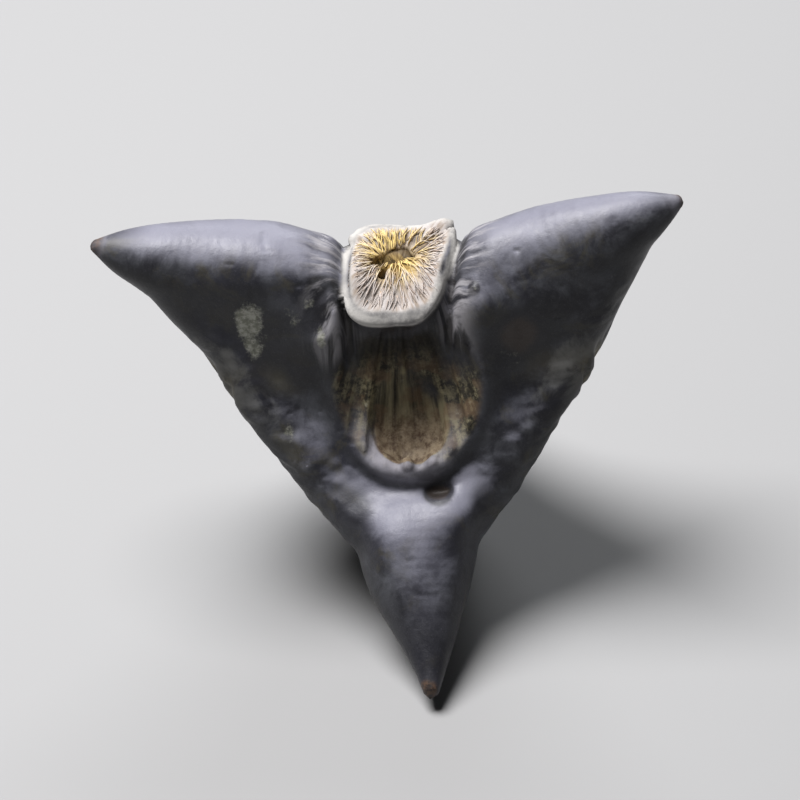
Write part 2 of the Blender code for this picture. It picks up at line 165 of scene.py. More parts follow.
BACK_HORN = spine(
    (0.0, 2.5, 10.0, 5.0),
    (-0.2, 7.8, 8.8, 4.5),
    (-0.4, 11.4, 7.6, 3.8),
    (-0.7, 14.6, 6.2, 2.7),
    (-0.9, REACH - 4.0, 4.9, 1.6),
    (-1.0, REACH - 1.6, 3.8, 0.8),
    steps=HORN_STEPS,
)
HORNS = (RIGHT_HORN, LEFT_HORN, FRONT_HORN, BACK_HORN)
KEEL = spine(
    (16.4, 0.8, TALL - 1.6, 1.0),
    (13.5, 0.3, 20.6, 1.7),
    (11.0, 0.0, 15.4, 1.8),
    (7.0, 0.0, 10.8, 2.0),
    (3.8, 0.0, 6.8, 2.4),
)
LOWER_WEB = spine(
    (0.0, 13.4, 4.4, 1.2),
    (0.0, 10.0, 4.6, 2.0),
    (0.0, 4.4, 3.8, 2.6),
)
EDGE = spine(
    (15.4, 0.8, TALL - 2.6, 1.0),
    (13.8, 2.2, 22.4, 1.2),
    (12.2, 2.8, 20.0, 1.5),
    (11.3, 3.7, 17.6, 1.6),
    (8.5, 5.3, 14.6, 1.8),
    (6.0, 7.0, 12.0, 1.9),
    (3.7, 8.6, 10.6, 2.1),
)
RIM = spine(
    (5.1, 3.2, 25.4, 0.9),
    (5.4, 4.2, 21.8, 1.0),
    (5.3, 4.8, 18.9, 1.0),
    (4.3, 6.1, 16.1, 0.95),
    (2.3, 7.5, 14.5, 1.0),
    (0.0, 8.0, 13.9, 1.1),
)
PANEL = spine(
    (8.0, 3.4, 5.4, 1.0),
    (11.2, 4.0, 9.8, 2.0),
    (13.6, 3.4, 14.4, 2.1),
    (16.2, 2.6, 19.6, 1.4),
)

# Half-width across and half-depth of the body at each height
WAIST = curve_through(
    np.array(
        (
            (3.5, 3.5, 5.5),
            (8.6, 5.0, 8.2),
            (12.0, 7.0, 8.5),
            (15.6, 10.2, 7.2),
            (17.8, 12.2, 5.6),
            (21.0, 13.6, 4.6),
            (25.0, 14.8, 3.8),
        )
    )
    * MM,
    SPINE_STEPS,
)

# Hollows and knobs
FACE_TILT = math.radians(19)
DISH_CENTRE = mm_point(0, 6.9, 19.6)
DISH_RADII = mm_point(5.5, 2.4, 5.3)
CUP_CENTRE = mm_point(0.1, 6.4, 17.5)
CUP_RADII = mm_point(2.9, 2.0, 3.9)
LEDGE_CENTRE = mm_point(0.3, 9.7, 13.1)
LEDGE_RADII = mm_point(4.2, 0.8, 0.8)
NOTCH_CENTRE = mm_point(2.1, -9.5, 12.7)
NOTCH_RADII = mm_point(0.8, 0.35, 0.35)
PORE_CENTRE = mm_point(-0.2, 0.6, CROWN_HEIGHT / MM - 0.8)
PORE_RADII = mm_point(1.1, 0.55, 1.8)
KNOBS = (
    (mm_point(6.0, -3.4, 25.6), 0.4 * MM, 1.3 * MM),
    (mm_point(7.4, 0.6, 28.4), 0.45 * MM, 1.7 * MM),
    (mm_point(-6.0, -4.6, 24.0), 0.4 * MM, 1.3 * MM),
    (mm_point(7.6, -7.2, 14.2), 0.45 * MM, 1.3 * MM),
    (mm_point(-7.4, -7.2, 14.2), 0.45 * MM, 1.3 * MM),
    (mm_point(5.6, 4.6, 24.2), 0.5 * MM, 1.3 * MM),
    (mm_point(-5.8, 4.6, 24.4), 0.5 * MM, 1.3 * MM),
    (mm_point(7.6, 7.2, 14.0), 0.45 * MM, 1.3 * MM),
    (mm_point(-7.6, 7.2, 14.4), 0.45 * MM, 1.3 * MM),
    (mm_point(3.0, -11.4, 11.4), 0.8 * MM, 1.8 * MM),
    (mm_point(-1.7, -12.2, 11.2), 0.8 * MM, 2.3 * MM),
    (mm_point(2.6, 11.4, 11.6), 0.6 * MM, 1.8 * MM),
    (mm_point(-2.4, 11.4, 11.6), 0.7 * MM, 2.0 * MM),
)


def smooth_union(a, b, width):
    share = np.clip(0.5 + 0.5 * (b - a) / width, 0, 1)
    return b + (a - b) * share - width * share * (1 - share)


def smooth_cut(solid, cutter, width):
    return -smooth_union(-solid, cutter, width)


def smooth_limit(a, b, width):
    return -smooth_union(-a, -b, width)


def ellipsoid(points, centre, radii, turn=None):
    """Close to the distance from an ellipsoid, with its axes along the columns of the turn."""
    local = points - centre
    if turn is not None:
        local = local @ turn
    scaled = local / radii
    reach = np.linalg.norm(scaled, axis=1)
    slope = np.linalg.norm(scaled / radii, axis=1)
    return reach * (reach - 1) / np.maximum(slope, 1e-9)


def limb(points, rows, squeeze=(1, 1, 1)):
    """Distance to a tapering tube along the rows. A squeeze over 1 makes it thinner along that axis."""
    scale = np.array(squeeze)
    moved = points * scale
    nearest = np.full(len(points), np.inf)
    for start, end in zip(rows, rows[1:]):
        foot = start[:3] * scale
        along = end[:3] * scale - foot
        from_foot = moved - foot
        share = np.clip(from_foot @ along / (along @ along), 0, 1)
        gap = from_foot - share[:, None] * along
        radius = start[3] + (end[3] - start[3]) * share
        away = np.sqrt(np.einsum("ij,ij->i", gap, gap))
        nearest = np.minimum(nearest, away - radius)
    return nearest


def rolling(points, size, seed):
    """Soft unevenness, mostly between -1 and 1, with bumps of the given size."""
    random = np.random.default_rng(seed)
    total = np.zeros(len(points))
    waves = 12
    for _ in range(waves):
        way = random.normal(size=3)
        way *= random.uniform(0.6, 1.5) * math.tau / size / np.linalg.norm(way)
        total += np.sin(points @ way + random.uniform(0, math.tau))
    return total / math.sqrt(waves)


def fade(value, start, end):
    share = np.clip((value - start) / (end - start), 0, 1)
    return share * share * (3 - 2 * share)


def face_axes(side):
    """Axes of a lower face, across, into it and up it. The side is -1 for the front and 1 for the back."""
    return np.array(Matrix.Rotation(side * FACE_TILT, 3, "X"))


def crown_top(x, y):
    """Height of the crown's face: level at the back, rounded down to the front lip, with raised corners."""
    forward = np.clip((2.9 * MM - y) / (8 * MM), 0, 1.2)
    middle = y + 0.9 * MM
    corner = np.clip(np.abs(x) / (3.8 * MM), 0, 1.1) ** 3 * np.clip(np.abs(middle) / (4 * MM), 0, 1.1) ** 2
    ear = np.exp(-(((x - 3.6 * MM) / (1.3 * MM)) ** 2) - ((y - 2.4 * MM) / (1.6 * MM)) ** 2)
    return CROWN_HEIGHT - (0.5 * forward + 1.9 * forward**3) * MM + 0.4 * MM * corner + EAR_HEIGHT * ear


def crown_plan(points, flare=1.0):
    """Distance outside the collar's outline, seen from above: a square that slants to the left in front."""
    y = points[:, 1] + 0.9 * MM
    x = points[:, 0] - CROWN_SLANT * np.clip(y, -5 * MM, 5 * MM)
    half_x = CROWN_WIDTH / 2 * flare * (1 + 0.03 * np.clip(y / MM, -4, 4))
    half_y = CROWN_DEPTH / 2 * flare
    return ((np.abs(x / half_x) ** 4.5 + np.abs(y / half_y) ** 4.5) ** (1 / 4.5) - 1) * half_y


def crown(points):
    """The square collar, wider at its rim than at its foot."""
    z = points[:, 2]
    flare = np.clip(1 + 0.11 * (z - crown_top(points[:, 0], points[:, 1]) + 0.4 * MM) / MM, 0.6, 1.04)
    top = z - crown_top(points[:, 0], points[:, 1])
    foot = CROWN_HEIGHT - 6.5 * MM - z
    solid = smooth_limit(smooth_limit(crown_plan(points, flare), top, 0.4 * MM), foot, 0.6 * MM)
    bowl = ellipsoid(points, mm_point(0, -0.1, CROWN_HEIGHT / MM + 0.5), mm_point(3.0, 2.4, 1.4))
    return smooth_cut(solid, bowl, 0.5 * MM) - crown_rays(points)


def moat(points):
    """How far the body falls away round the collar's foot."""
    plan = crown_plan(points)
    beside = np.exp(-(((plan - 0.35 * MM) / (0.65 * MM)) ** 2)) + 0.5 * np.exp(-(((plan - 1.6 * MM) / (1.6 * MM)) ** 2))
    return MOAT_DEPTH * beside * fade(points[:, 2], CROWN_HEIGHT - 9 * MM, CROWN_HEIGHT - 5.5 * MM)


def crown_rays(points):
    """How far the bristle rays round the pore raise the crown's face."""
    x, y = points[:, 0], points[:, 1] - PORE_CENTRE[1]
    away = np.hypot(x, y)
    ray = np.cos(RAY_COUNT * np.arctan2(y, x) + 1.2 * np.sin(away / MM * 1.3))
    share = fade(away, 0.9 * MM, 1.6 * MM) * (1 - fade(away, 4.2 * MM, 5.8 * MM))
    share *= 1 - fade(np.abs(x), 3.4 * MM, 4.0 * MM)
    share *= 1 - fade(points[:, 1], 1.6 * MM, 2.8 * MM)
    height = points[:, 2] - crown_top(x, points[:, 1])
    return RAY_DEPTH * ray * share * fade(height, -1.6 * MM, -0.8 * MM)


def pore(points):
    """A slanting slit in the crown's face."""
    return ellipsoid(points, PORE_CENTRE, PORE_RADII, np.array(Matrix.Rotation(math.radians(35), 3, "Z")))


def face_hollows(points, side):
    """The shield-shaped dish of a lower face, and the cup in it that ends in a crisp lip."""
    flip = np.array((1, side, 1))
    axes = face_axes(side)
    dish = ellipsoid(points, DISH_CENTRE * flip, DISH_RADII, axes)
    cup = ellipsoid(points, CUP_CENTRE * flip, CUP_RADII, axes)
    return dish, cup


def rib_wave(points):
    """The swell of the ribs that fan down the dishes, between -1 and 1."""
    fan = np.arctan2(points[:, 0], CROWN_HEIGHT + 4 * MM - points[:, 2])
    return 0.6 * np.cos(fan * 62 + 0.4) + 0.4 * np.cos(fan * 35 + 1.1)


def face_ribs(points, dish):
    """Ribs that fan down the dish from above the crown."""
    return FACE_RIB_DEPTH * rib_wave(points) * fade(-dish, -0.5 * MM, 0.2 * MM)


def side_panel(points):
    """How much a point lies in the ribbed panels beside the keels, from 0 to 1."""
    x, y, z = np.abs(points[:, 0]), np.abs(points[:, 1]), points[:, 2]
    middle = 3.1 * MM - 0.07 * (z - 12 * MM)
    inside = 1 - fade(np.abs(y - middle), 1.0 * MM, 2.4 * MM)
    return inside * fade(x, 5.0 * MM, 6.5 * MM) * fade(z, 4 * MM, 7 * MM) * (1 - fade(z, 18 * MM, 22 * MM))


def side_ribs(points):
    """Ribs that run up each side face beside its keel, from the base to the upper horn."""
    x, y, z = np.abs(points[:, 0]), np.abs(points[:, 1]), points[:, 2]
    wave = np.cos(y / MM * 5.2 + 0.8 * np.sin(z / MM * 0.6 + x / MM * 0.3))
    return SIDE_RIB_DEPTH * side_panel(points) * wave


def stem_scar(upright):
    """The boss at the base and the crater in it, both square to the surface that the nut stands on."""
    away = np.hypot(upright[:, 0], upright[:, 1])
    z = upright[:, 2]
    side = away - SCAR_RADIUS - 0.12 * z
    boss = smooth_limit(smooth_limit(side, -z, 0.7 * MM), z - 5 * MM, 0.7 * MM)
    crater = smooth_limit(away - CRATER_RADIUS + 0.2 * z, z - 1.3 * MM, 0.5 * MM)
    return boss, crater


def waist(own):
    """The body between the horns: wide across at the top, deep from front to back at the bottom."""
    half_x = np.interp(own[:, 2], WAIST[:, 0], WAIST[:, 1])
    half_y = np.interp(own[:, 2], WAIST[:, 0], WAIST[:, 2])
    plan = (np.abs(own[:, 0] / half_x) ** 4 + np.abs(own[:, 1] / half_y) ** 4) ** 0.25
    sides = (plan - 1) * np.minimum(half_x, half_y)
    level = smooth_limit(own[:, 2] - WAIST[-1, 0], WAIST[0, 0] - own[:, 2], MM)
    return smooth_limit(sides, level, 3 * MM)


def body_form(own):
    """The horns, keels and ridges grown together, without the hollows."""
    own = own + 0.3 * MM * np.stack([rolling(own, 24 * MM, SEED + i) for i in range(3)], axis=1)
    body = waist(own)
    for rows in (RIGHT_HORN, LEFT_HORN):
        body = smooth_union(body, limb(own, rows, (1, 1.08, 1)), 2.4 * MM)
    for rows in (FRONT_HORN, BACK_HORN):
        body = smooth_union(body, limb(own, rows), 1.6 * MM)
    body = smooth_union(body, limb(folded(own, 0), KEEL), 2.0 * MM)
    body = smooth_union(body, limb(folded(own, 1), LOWER_WEB), 2.0 * MM)
    body = smooth_union(body, limb(folded(own, 0, 1), EDGE), 1.6 * MM)
    body = smooth_union(body, limb(folded(own, 0, 1), RIM), 1.0 * MM)
    body = smooth_cut(body, limb(folded(own, 0, 1), PANEL), 1.2 * MM)
    saddle = own[:, 2] - CROWN_HEIGHT + SADDLE_DEPTH - 0.06 * own[:, 0] ** 2 / MM
    return smooth_limit(body, saddle, 0.9 * MM) + moat(own)


def own_frame(points):
    """The points in the nut's own frame, with the crown straight up."""
    return (points - np.array(SEAT)) @ np.array(STAND)


def nut_form(points):
    """Below zero inside the nut, above zero outside, close to the distance from its surface."""
    own = own_frame(points)
    body = body_form(own)
    body = body - side_ribs(own)
    for side in (-1, 1):
        dish, cup = face_hollows(own, side)
        body = smooth_cut(body, dish, 1.0 * MM)
        body = smooth_cut(body, cup, 0.25 * MM)
        ledge = ((own - LEDGE_CENTRE * (1, side, 1)) @ face_axes(side) / LEDGE_RADII) ** 2
        body = body + LEDGE_DEPTH * np.exp(-ledge.sum(axis=1))
        body = body - face_ribs(own, dish)
    for centre, height, width in KNOBS:
        body = body - height * np.exp(-(((own - centre) / width) ** 2).sum(axis=1))
    body = smooth_cut(body, ellipsoid(own, NOTCH_CENTRE, NOTCH_RADII), 0.9 * MM)
    body = smooth_union(body, crown(own), 0.6 * MM)
    body = smooth_cut(body, pore(own), 0.3 * MM)
    body = body - UNEVENNESS * rolling(own, 8 * MM, SEED)
    boss, crater = stem_scar(points - np.array(SEAT))
    body = smooth_union(body, boss, 1.2 * MM)
    return smooth_cut(body, crater, 0.4 * MM)


def drawn_onto_form(points, steps=6):
    """Moves points along the form's slope until they lie on its surface."""
    reach = 0.02 * MM
    corners = np.array(((1, -1, -1), (-1, -1, 1), (-1, 1, -1), (1, 1, 1)), float)
    points = points.copy()
    unsettled = np.arange(len(points))
    for _ in range(steps):
        here = points[unsettled]
        heights = np.stack([nut_form(here + reach * corner) for corner in corners], axis=1)
        slope = heights @ corners / (4 * reach)
        height = heights.mean(axis=1)
        steep = np.maximum((slope**2).sum(axis=1), 0.15)
        move = slope * (height / steep)[:, None]
        length = np.linalg.norm(move, axis=1)
        move *= np.minimum(1, 0.6 * MM / np.maximum(length, 1e-12))[:, None]
        points[unsettled] = here - move
        unsettled = unsettled[length > 0.006 * MM]
        if not len(unsettled):
            break
    return points


def lumps(points, size, seed):
    """Noise between -1 and 1 whose lumps are about the given size."""
    cells = 32
    lattice = np.random.default_rng(seed).uniform(-1, 1, (cells, cells, cells))
    place = points / size
    cell = np.floor(place).astype(int)
    share = place - cell
    share = share * share * (3 - 2 * share)
    total = np.zeros(len(points))
    for corner in itertools.product((0, 1), repeat=3):
        weight = np.where(corner, share, 1 - share).prod(axis=1)
        x, y, z = ((cell + corner) % cells).T
        total += weight * lattice[x, y, z]
    return total


def bell(value, middle, width):
    return np.exp(-(((value - middle) / width) ** 2))


def face_fibres(own):
    """Streaks that fan down the dishes, between -1 and 1."""
    drop = CROWN_HEIGHT + 4 * MM - own[:, 2]
    fan = np.arctan2(own[:, 0], drop)
    away = np.hypot(own[:, 0], drop)
    side = np.sign(own[:, 1]) * 7
    fine = lumps(np.stack((fan * 30, away / (5 * MM), side), axis=1), 1, SEED)
    finer = lumps(np.stack((fan * 58, away / (3 * MM), side), axis=1), 1, SEED + 1)
    return 0.65 * fine + 0.35 * finer


def ray_fibres(own):
    """Streaks that run out from the pore across the crown and the shoulders, between -1 and 1."""
    x, y = own[:, 0] - PORE_CENTRE[0], own[:, 1] + 0.6 * MM
    away = np.hypot(x, y)
    turn = np.arctan2(y, x)
    ring = np.stack((np.cos(turn) * 9, np.sin(turn) * 9, away / (3 * MM)), axis=1)
    return 0.6 * lumps(ring, 1, SEED + 2) + 0.4 * lumps(ring * (1.9, 1.9, 1.4), 1, SEED + 3)


def slit_depth(own):
    """How much a point of the crown's face lies in a slit, from 0 to 1."""
    plan = own[:, :2] / MM
    depth = np.zeros(len(own))
    for start_x, start_y, end_x, end_y, half in SLITS:
        start, along = np.array((start_x, start_y)), np.array((end_x - start_x, end_y - start_y))
        share = np.clip((plan - start) @ along / (along @ along), 0, 1)
        away = np.linalg.norm(plan - start - share[:, None] * along, axis=1)
        depth = np.maximum(depth, 1 - fade(away, 0.6 * half, 1.6 * half * (1.2 - 0.5 * share)))
    return depth


def panel_fibres(own):
    """Streaks that run up the side panels, between -1 and 1."""
    x, y, z = np.abs(own[:, 0]), own[:, 1], own[:, 2]
    sway = y + 0.5 * MM * np.sin(z / MM * 0.5 + x / MM * 0.2)
    ribs = np.stack((sway / (0.55 * MM), z / (4 * MM), np.sign(own[:, 0]) * 5), axis=1)
    return 0.65 * lumps(ribs, 1, SEED + 4) + 0.35 * lumps(ribs * (2, 1.5, 1), 1, SEED + 5)


# Slits between the bristles, in the crown's own plan: both ends and half the width, in millimetres
SLITS = (
    (-1.55, -0.6, -0.15, 0.45, 0.26),
    (-1.2, -1.75, -0.8, -1.1, 0.17),
    (0.3, 0.8, 1.05, 0.5, 0.20),
)
# Middle of the line that the bristles spread from, and half its length
SPREAD_CENTRE = np.array((-0.1, 0.3)) * MM
SPREAD_REACH = 0.7 * MM

# Blisters and pits of the fine shell, in the nut's own frame: place, radius, height
MARKS = (
    (mm_point(5.5, -3.4, 27.1), 0.40 * MM, 0.28 * MM),
    (mm_point(-11.1, -3.5, 24.2), 1.5 * MM, 0.08 * MM),
    (mm_point(8.4, -4.4, 22.8), 1.5 * MM, -0.10 * MM),
    (mm_point(-5.8, -5.2, 24.2), 0.5 * MM, 0.12 * MM),
    (mm_point(-9.6, 3.9, 23.4), 1.4 * MM, 0.08 * MM),
    (mm_point(6.2, 4.0, 26.4), 0.45 * MM, 0.22 * MM),
)

# Pale olive scales and brown patches on the shell: place, reach each way, share of pale, share of brown
STAINS = (
    (mm_point(-11.1, -3.5, 24.9), mm_point(1.2, 3.0, 1.9), 1.0, 0.0),
    (mm_point(-10.9, -3.8, 22.9), mm_point(0.9, 3.0, 1.5), 0.9, 0.0),
    (mm_point(-4.8, -10.6, 12.0), mm_point(2.2, 2.4, 2.4), 0.0, 0.25),
    (mm_point(5.6, -10.4, 12.2), mm_point(1.4, 1.8, 2.2), 0.0, 0.25),
    (mm_point(-6.6, -4.0, 26.8), mm_point(0.5, 3.0, 0.6), 0.7, 0.0),
    (mm_point(-7.8, -4.2, 25.6), mm_point(0.6, 3.0, 0.7), 0.5, 0.0),
    (mm_point(-5.8, -5.2, 24.2), mm_point(0.4, 3.0, 0.9), 0.9, 0.0),
    (mm_point(-8.8, -6.5, 16.5), mm_point(0.5, 3.0, 1.0), 0.5, 0.2),
    (mm_point(8.6, -4.4, 22.9), mm_point(1.7, 3.0, 1.9), 0.0, 0.9),
    (mm_point(7.7, -4.4, 21.2), mm_point(1.2, 3.0, 1.2), 0.25, 0.3),
    (mm_point(5.5, -3.5, 27.1), mm_point(0.5, 0.6, 0.5), 0.5, 0.5),
    (mm_point(2.1, -9.5, 12.3), mm_point(1.0, 1.2, 0.7), 0.0, 1.0),
    (mm_point(-13.2, 2.8, 26.0), mm_point(1.0, 3.0, 0.8), 0.8, 0.0),
    (mm_point(10.8, 3.6, 24.8), mm_point(1.2, 3.0, 1.6), 0.8, 0.0),
    (mm_point(9.4, 3.9, 20.2), mm_point(0.8, 3.0, 1.1), 0.6, 0.2),
    (mm_point(-8.6, 4.4, 21.8), mm_point(1.5, 3.0, 1.5), 0.0, 0.8),
    (mm_point(1.6, 13.8, 9.4), mm_point(0.8, 0.9, 2.0), 0.7, 0.0),
)


def zones(own):
    """Shares from 0 to 1 of each kind of ground at each point, by name."""
    plan = crown_plan(own)
    z = own[:, 2]
    wall = 1 - fade(crown(own), 0.1 * MM, 0.45 * MM)
    wall *= fade(z, CROWN_HEIGHT - 6.5 * MM, CROWN_HEIGHT - 5.2 * MM)
    height = z - crown_top(own[:, 0], own[:, 1])
    inside = 1 - fade(plan, -0.5 * MM, -0.2 * MM)
    wall = np.maximum(wall, inside * fade(height, -2.6 * MM, -1.8 * MM))
    collar = wall * fade(height, -1.1 * MM, -0.55 * MM)
    middle = 1 - fade(plan, -2.2 * MM, -1.2 * MM)
    face = (1 - fade(plan, -0.7 * MM, -0.3 * MM)) * fade(height + 1.4 * MM * middle, -1.1 * MM, -0.7 * MM)
    hollow = np.zeros(len(own))
    cup_share = np.zeros(len(own))
    lip = np.zeros(len(own))
    for side in (-1, 1):
        dish, cup = face_hollows(own, side)
        cup_share = np.maximum(cup_share, 1 - fade(cup, 0.05 * MM, 0.25 * MM))
        hollow = np.maximum(hollow, 1 - fade(dish, 0.1 * MM, 0.6 * MM))
        low = 1 - fade(z, 14.8 * MM, 18.5 * MM)
        lip = np.maximum(lip, fade(cup, 0.12 * MM, 0.28 * MM) * (1 - fade(cup, 0.6 * MM, 2.0 * MM)) * low)
    beside = bell(plan, 1.6 * MM, 1.5 * MM) * fade(z, CROWN_HEIGHT - 7 * MM, CROWN_HEIGHT - 4.5 * MM)
    upright = own @ np.array(STAND).T
    scar = 1 - fade(np.hypot(upright[:, 0], upright[:, 1]), SCAR_RADIUS - 0.4 * MM, SCAR_RADIUS + 0.8 * MM)
    scar *= 1 - fade(upright[:, 2], 0.6 * MM, 2.2 * MM)
    tips = np.zeros(len(own))
    for rows in HORNS:
        tips = np.maximum(tips, 1 - fade(np.linalg.norm(own - rows[-1, :3], axis=1), 0.3 * MM, 1.3 * MM))
    hollow = np.maximum(hollow, cup_share)
    edge = 1 - fade(np.abs(limb(folded(own, 0, 1), EDGE)), 0.3 * MM, 0.9 * MM)
    pale, brown = np.zeros(len(own)), np.zeros(len(own))
    for centre, radii, pale_share, brown_share in STAINS:
        far = (((own - centre) / radii) ** 2).sum(axis=1)
        spot = np.exp(-(far**1.3))
        pale = np.maximum(pale, spot * pale_share)
        brown = np.maximum(brown, spot * brown_share)
    return {
        "edge": edge * (1 - wall) * (1 - hollow),
        "pale": pale,
        "brown": brown,
        "rib": hollow * (0.5 + 0.5 * rib_wave(own)),
        "collar": collar,
        "wall": wall,
        "face": face,
        "slit": face * slit_depth(own),
        "sunk": middle * (1 - fade(height, -0.9 * MM, -0.45 * MM)),
        "hollow": hollow * (1 - wall),
        "cup": cup_share * (1 - wall),
        "lip": lip * (1 - wall),
        "beside": beside * (1 - wall),
        "panel": side_panel(own),
        "scar": scar,
        "tip": tips,
    }


def relief(own, zone):
    """How far the fine relief stands out from the form at each point."""
    bare = 1 - np.maximum.reduce([zone["wall"], zone["hollow"], zone["scar"]])
    rough = bare * (0.35 + 0.65 * (1 - fade(np.hypot(own[:, 0] * 0.9, own[:, 1]), 8 * MM, 13 * MM)))
    height = 0.12 * MM * zone["hollow"] * face_fibres(own)
    height += 0.10 * MM * zone["cup"] * lumps(own, 0.7 * MM, SEED + 12) * (1 - fade(own[:, 2], 14 * MM, 17 * MM))
    height += 0.22 * MM * zone["beside"] * (1 - zone["hollow"]) * ray_fibres(own)
    height += 0.10 * MM * zone["panel"] * panel_fibres(own)
    rim = zone["collar"] * bell(crown_plan(own), -0.5 * MM, 0.4 * MM)
    height += 0.16 * MM * rim * fade(own[:, 2] - crown_top(own[:, 0], own[:, 1]), -0.8 * MM, -0.3 * MM)
    height += 0.03 * MM * zone["collar"] * lumps(own, 0.9 * MM, SEED + 6)
    height -= 0.04 * MM * zone["face"] * (1 + ray_fibres(own)) + 0.75 * MM * zone["slit"]
    height += 0.10 * MM * zone["lip"]
    height += 0.09 * MM * zone["edge"] * lumps(own * (1, 1, 2), 1.1 * MM, SEED + 13)
    height += rough * 0.10 * MM * lumps(own, 3.1 * MM, SEED + 7)
    height += rough * 0.05 * MM * lumps(own, 1.3 * MM, SEED + 8)
    pits = fade(lumps(own, 0.8 * MM, SEED + 9), 0.72, 0.95)
    height -= 0.08 * MM * rough * pits
    height += 0.10 * MM * zone["scar"] * lumps(own, 0.6 * MM, SEED + 10)
    for centre, radius, raised in MARKS:
        height += raised * np.exp(-(((own - centre) / radius) ** 2).sum(axis=1))
    return height


def coordinates(mesh):
    values = np.empty(len(mesh.vertices) * 3)
    mesh.vertices.foreach_get("co", values)
    return values.reshape(-1, 3)


def set_coordinates(mesh, points):
    mesh.vertices.foreach_set("co", points.ravel())
    mesh.update()


def facing(mesh):
    """The normal at each vertex."""
    values = np.empty(len(mesh.vertices) * 3)
    mesh.vertex_normals.foreach_get("vector", values)
    return values.reshape(-1, 3)


def worked_in(obj):
    """Works the object's modifiers into its mesh."""
    bpy.context.view_layer.update()
    graph = bpy.context.evaluated_depsgraph_get()
    mesh = bpy.data.meshes.new_from_object(obj.evaluated_get(graph))
    old = obj.data
    obj.modifiers.clear()
    obj.data = mesh
    bpy.data.meshes.remove(old)


def remeshed(obj, voxel):
    """Gives the object even faces of the voxel's size, drawn onto the form."""
    remesh = obj.modifiers.new("even_faces", "REMESH")
    remesh.mode = "VOXEL"
    remesh.voxel_size = voxel
    worked_in(obj)
    set_coordinates(obj.data, drawn_onto_form(coordinates(obj.data)))


def neighbour_mean(values, edges, count):
    """The mean of each vertex's neighbours."""
    total = np.bincount(edges[:, 0], values[edges[:, 1]], count)
    total += np.bincount(edges[:, 1], values[edges[:, 0]], count)
    return total / np.maximum(np.bincount(edges.ravel(), minlength=count), 1)


def bending(mesh, smoothings):
    """How sharply the surface bends outwards at each vertex, in 1/mm. A hollow bends below zero."""
    count = len(mesh.vertices)
    edges = np.empty(len(mesh.edges) * 2, int)
    mesh.edges.foreach_get("vertices", edges)
    edges = edges.reshape(-1, 2)
    points, normals = coordinates(mesh), facing(mesh)
    way = points[edges[:, 1]] - points[edges[:, 0]]
    length = np.maximum((way**2).sum(axis=1), 1e-12)
    first = -np.einsum("ij,ij->i", way, normals[edges[:, 0]]) / length
    second = np.einsum("ij,ij->i", way, normals[edges[:, 1]]) / length
    bend = np.bincount(edges[:, 0], first, count) + np.bincount(edges[:, 1], second, count)
    bend = 2 * MM * bend / np.maximum(np.bincount(edges.ravel(), minlength=count), 1)
    for _ in range(smoothings):
        bend = 0.5 * bend + 0.5 * neighbour_mean(bend, edges, count)
    return bend


def shading_in(points, normals):
    """How closed in each point is by the form around it, from 0 to 1."""
    shade = np.zeros(len(points))
    steps = (0.6 * MM, 1.5 * MM, 3.0 * MM)
    for step in steps:
        room = nut_form(points + normals * step) / step
        shade += np.clip(1 - room, 0, 1) / len(steps)
    return shade


def add_layer(mesh, name, values):
    layer = mesh.attributes.new(name, "FLOAT", "POINT")
    layer.data.foreach_set("value", np.ascontiguousarray(values, np.float32))


class Wire:
    """A node's output that Python's arithmetic works on, by adding Math nodes."""

    def __init__(self, finish, socket):
        self.finish = finish
        self.socket = socket

    def __add__(self, other):
        return self.finish.math("ADD", self, other)

    def __sub__(self, other):
        return self.finish.math("SUBTRACT", self, other)

    def __rsub__(self, other):
        return self.finish.math("SUBTRACT", other, self)

    def __mul__(self, other):
        return self.finish.math("MULTIPLY", self, other)

    __radd__ = __add__
    __rmul__ = __mul__


class Finish:
    """A material's nodes, added by one method and joined by expressions."""

    def __init__(self, name):
        self.material = bpy.data.materials.new(name)
        self.material.use_nodes = True
        self.tree = self.material.node_tree
        self.tree.nodes.clear()

    def node(self, kind, settings, inputs, output=0):
        """Adds a node of that kind with its settings made first, then the values or links of its inputs."""
        made = self.tree.nodes.new(kind)
        for name, value in settings.items():
            setattr(made, name, value)
        for name, value in inputs.items():
            if isinstance(value, Wire):
                self.tree.links.new(value.socket, made.inputs[name])
            else:
                made.inputs[name].default_value = value
        return Wire(self, made.outputs[output])

    def math(self, operation, *values):
        return self.node("ShaderNodeMath", {"operation": operation}, dict(enumerate(values)))

    def mix(self, share, first, second):
        """The first colour where the share is 0, and the second where it is 1."""
        ends = {0: share, 6: self.colour(first), 7: self.colour(second)}
        return self.node("ShaderNodeMix", {"data_type": "RGBA"}, ends, 2)

    @staticmethod
    def colour(value):
        return value if isinstance(value, Wire) else (*value[:3], 1.0)

    def fade(self, value, start, end):
        """Rises smoothly from 0 to 1 as the value goes from start to end."""
        inputs = {"Value": value, "From Min": start, "From Max": end}
        return self.node("ShaderNodeMapRange", {"interpolation_type": "SMOOTHSTEP"}, inputs)

    def noise(self, vector, scale, detail=3.0, roughness=0.5, distortion=0.0):
        inputs = {
            "Vector": vector,
            "Scale": scale,
            "Detail": detail,
            "Roughness": roughness,
            "Distortion": distortion,
        }
        return self.node("ShaderNodeTexNoise", {}, inputs)

    def layer(self, name):
        """A named layer of the mesh."""
        return self.node("ShaderNodeAttribute", {"attribute_name": name}, {}, "Fac")

    def vector(self, x, y, z):
        return self.node("ShaderNodeCombineXYZ", {}, {"X": x, "Y": y, "Z": z})


def add_output(finish, shader):
    target = finish.tree.nodes.new("ShaderNodeOutputMaterial")
    finish.tree.links.new(shader.socket, target.inputs["Surface"])


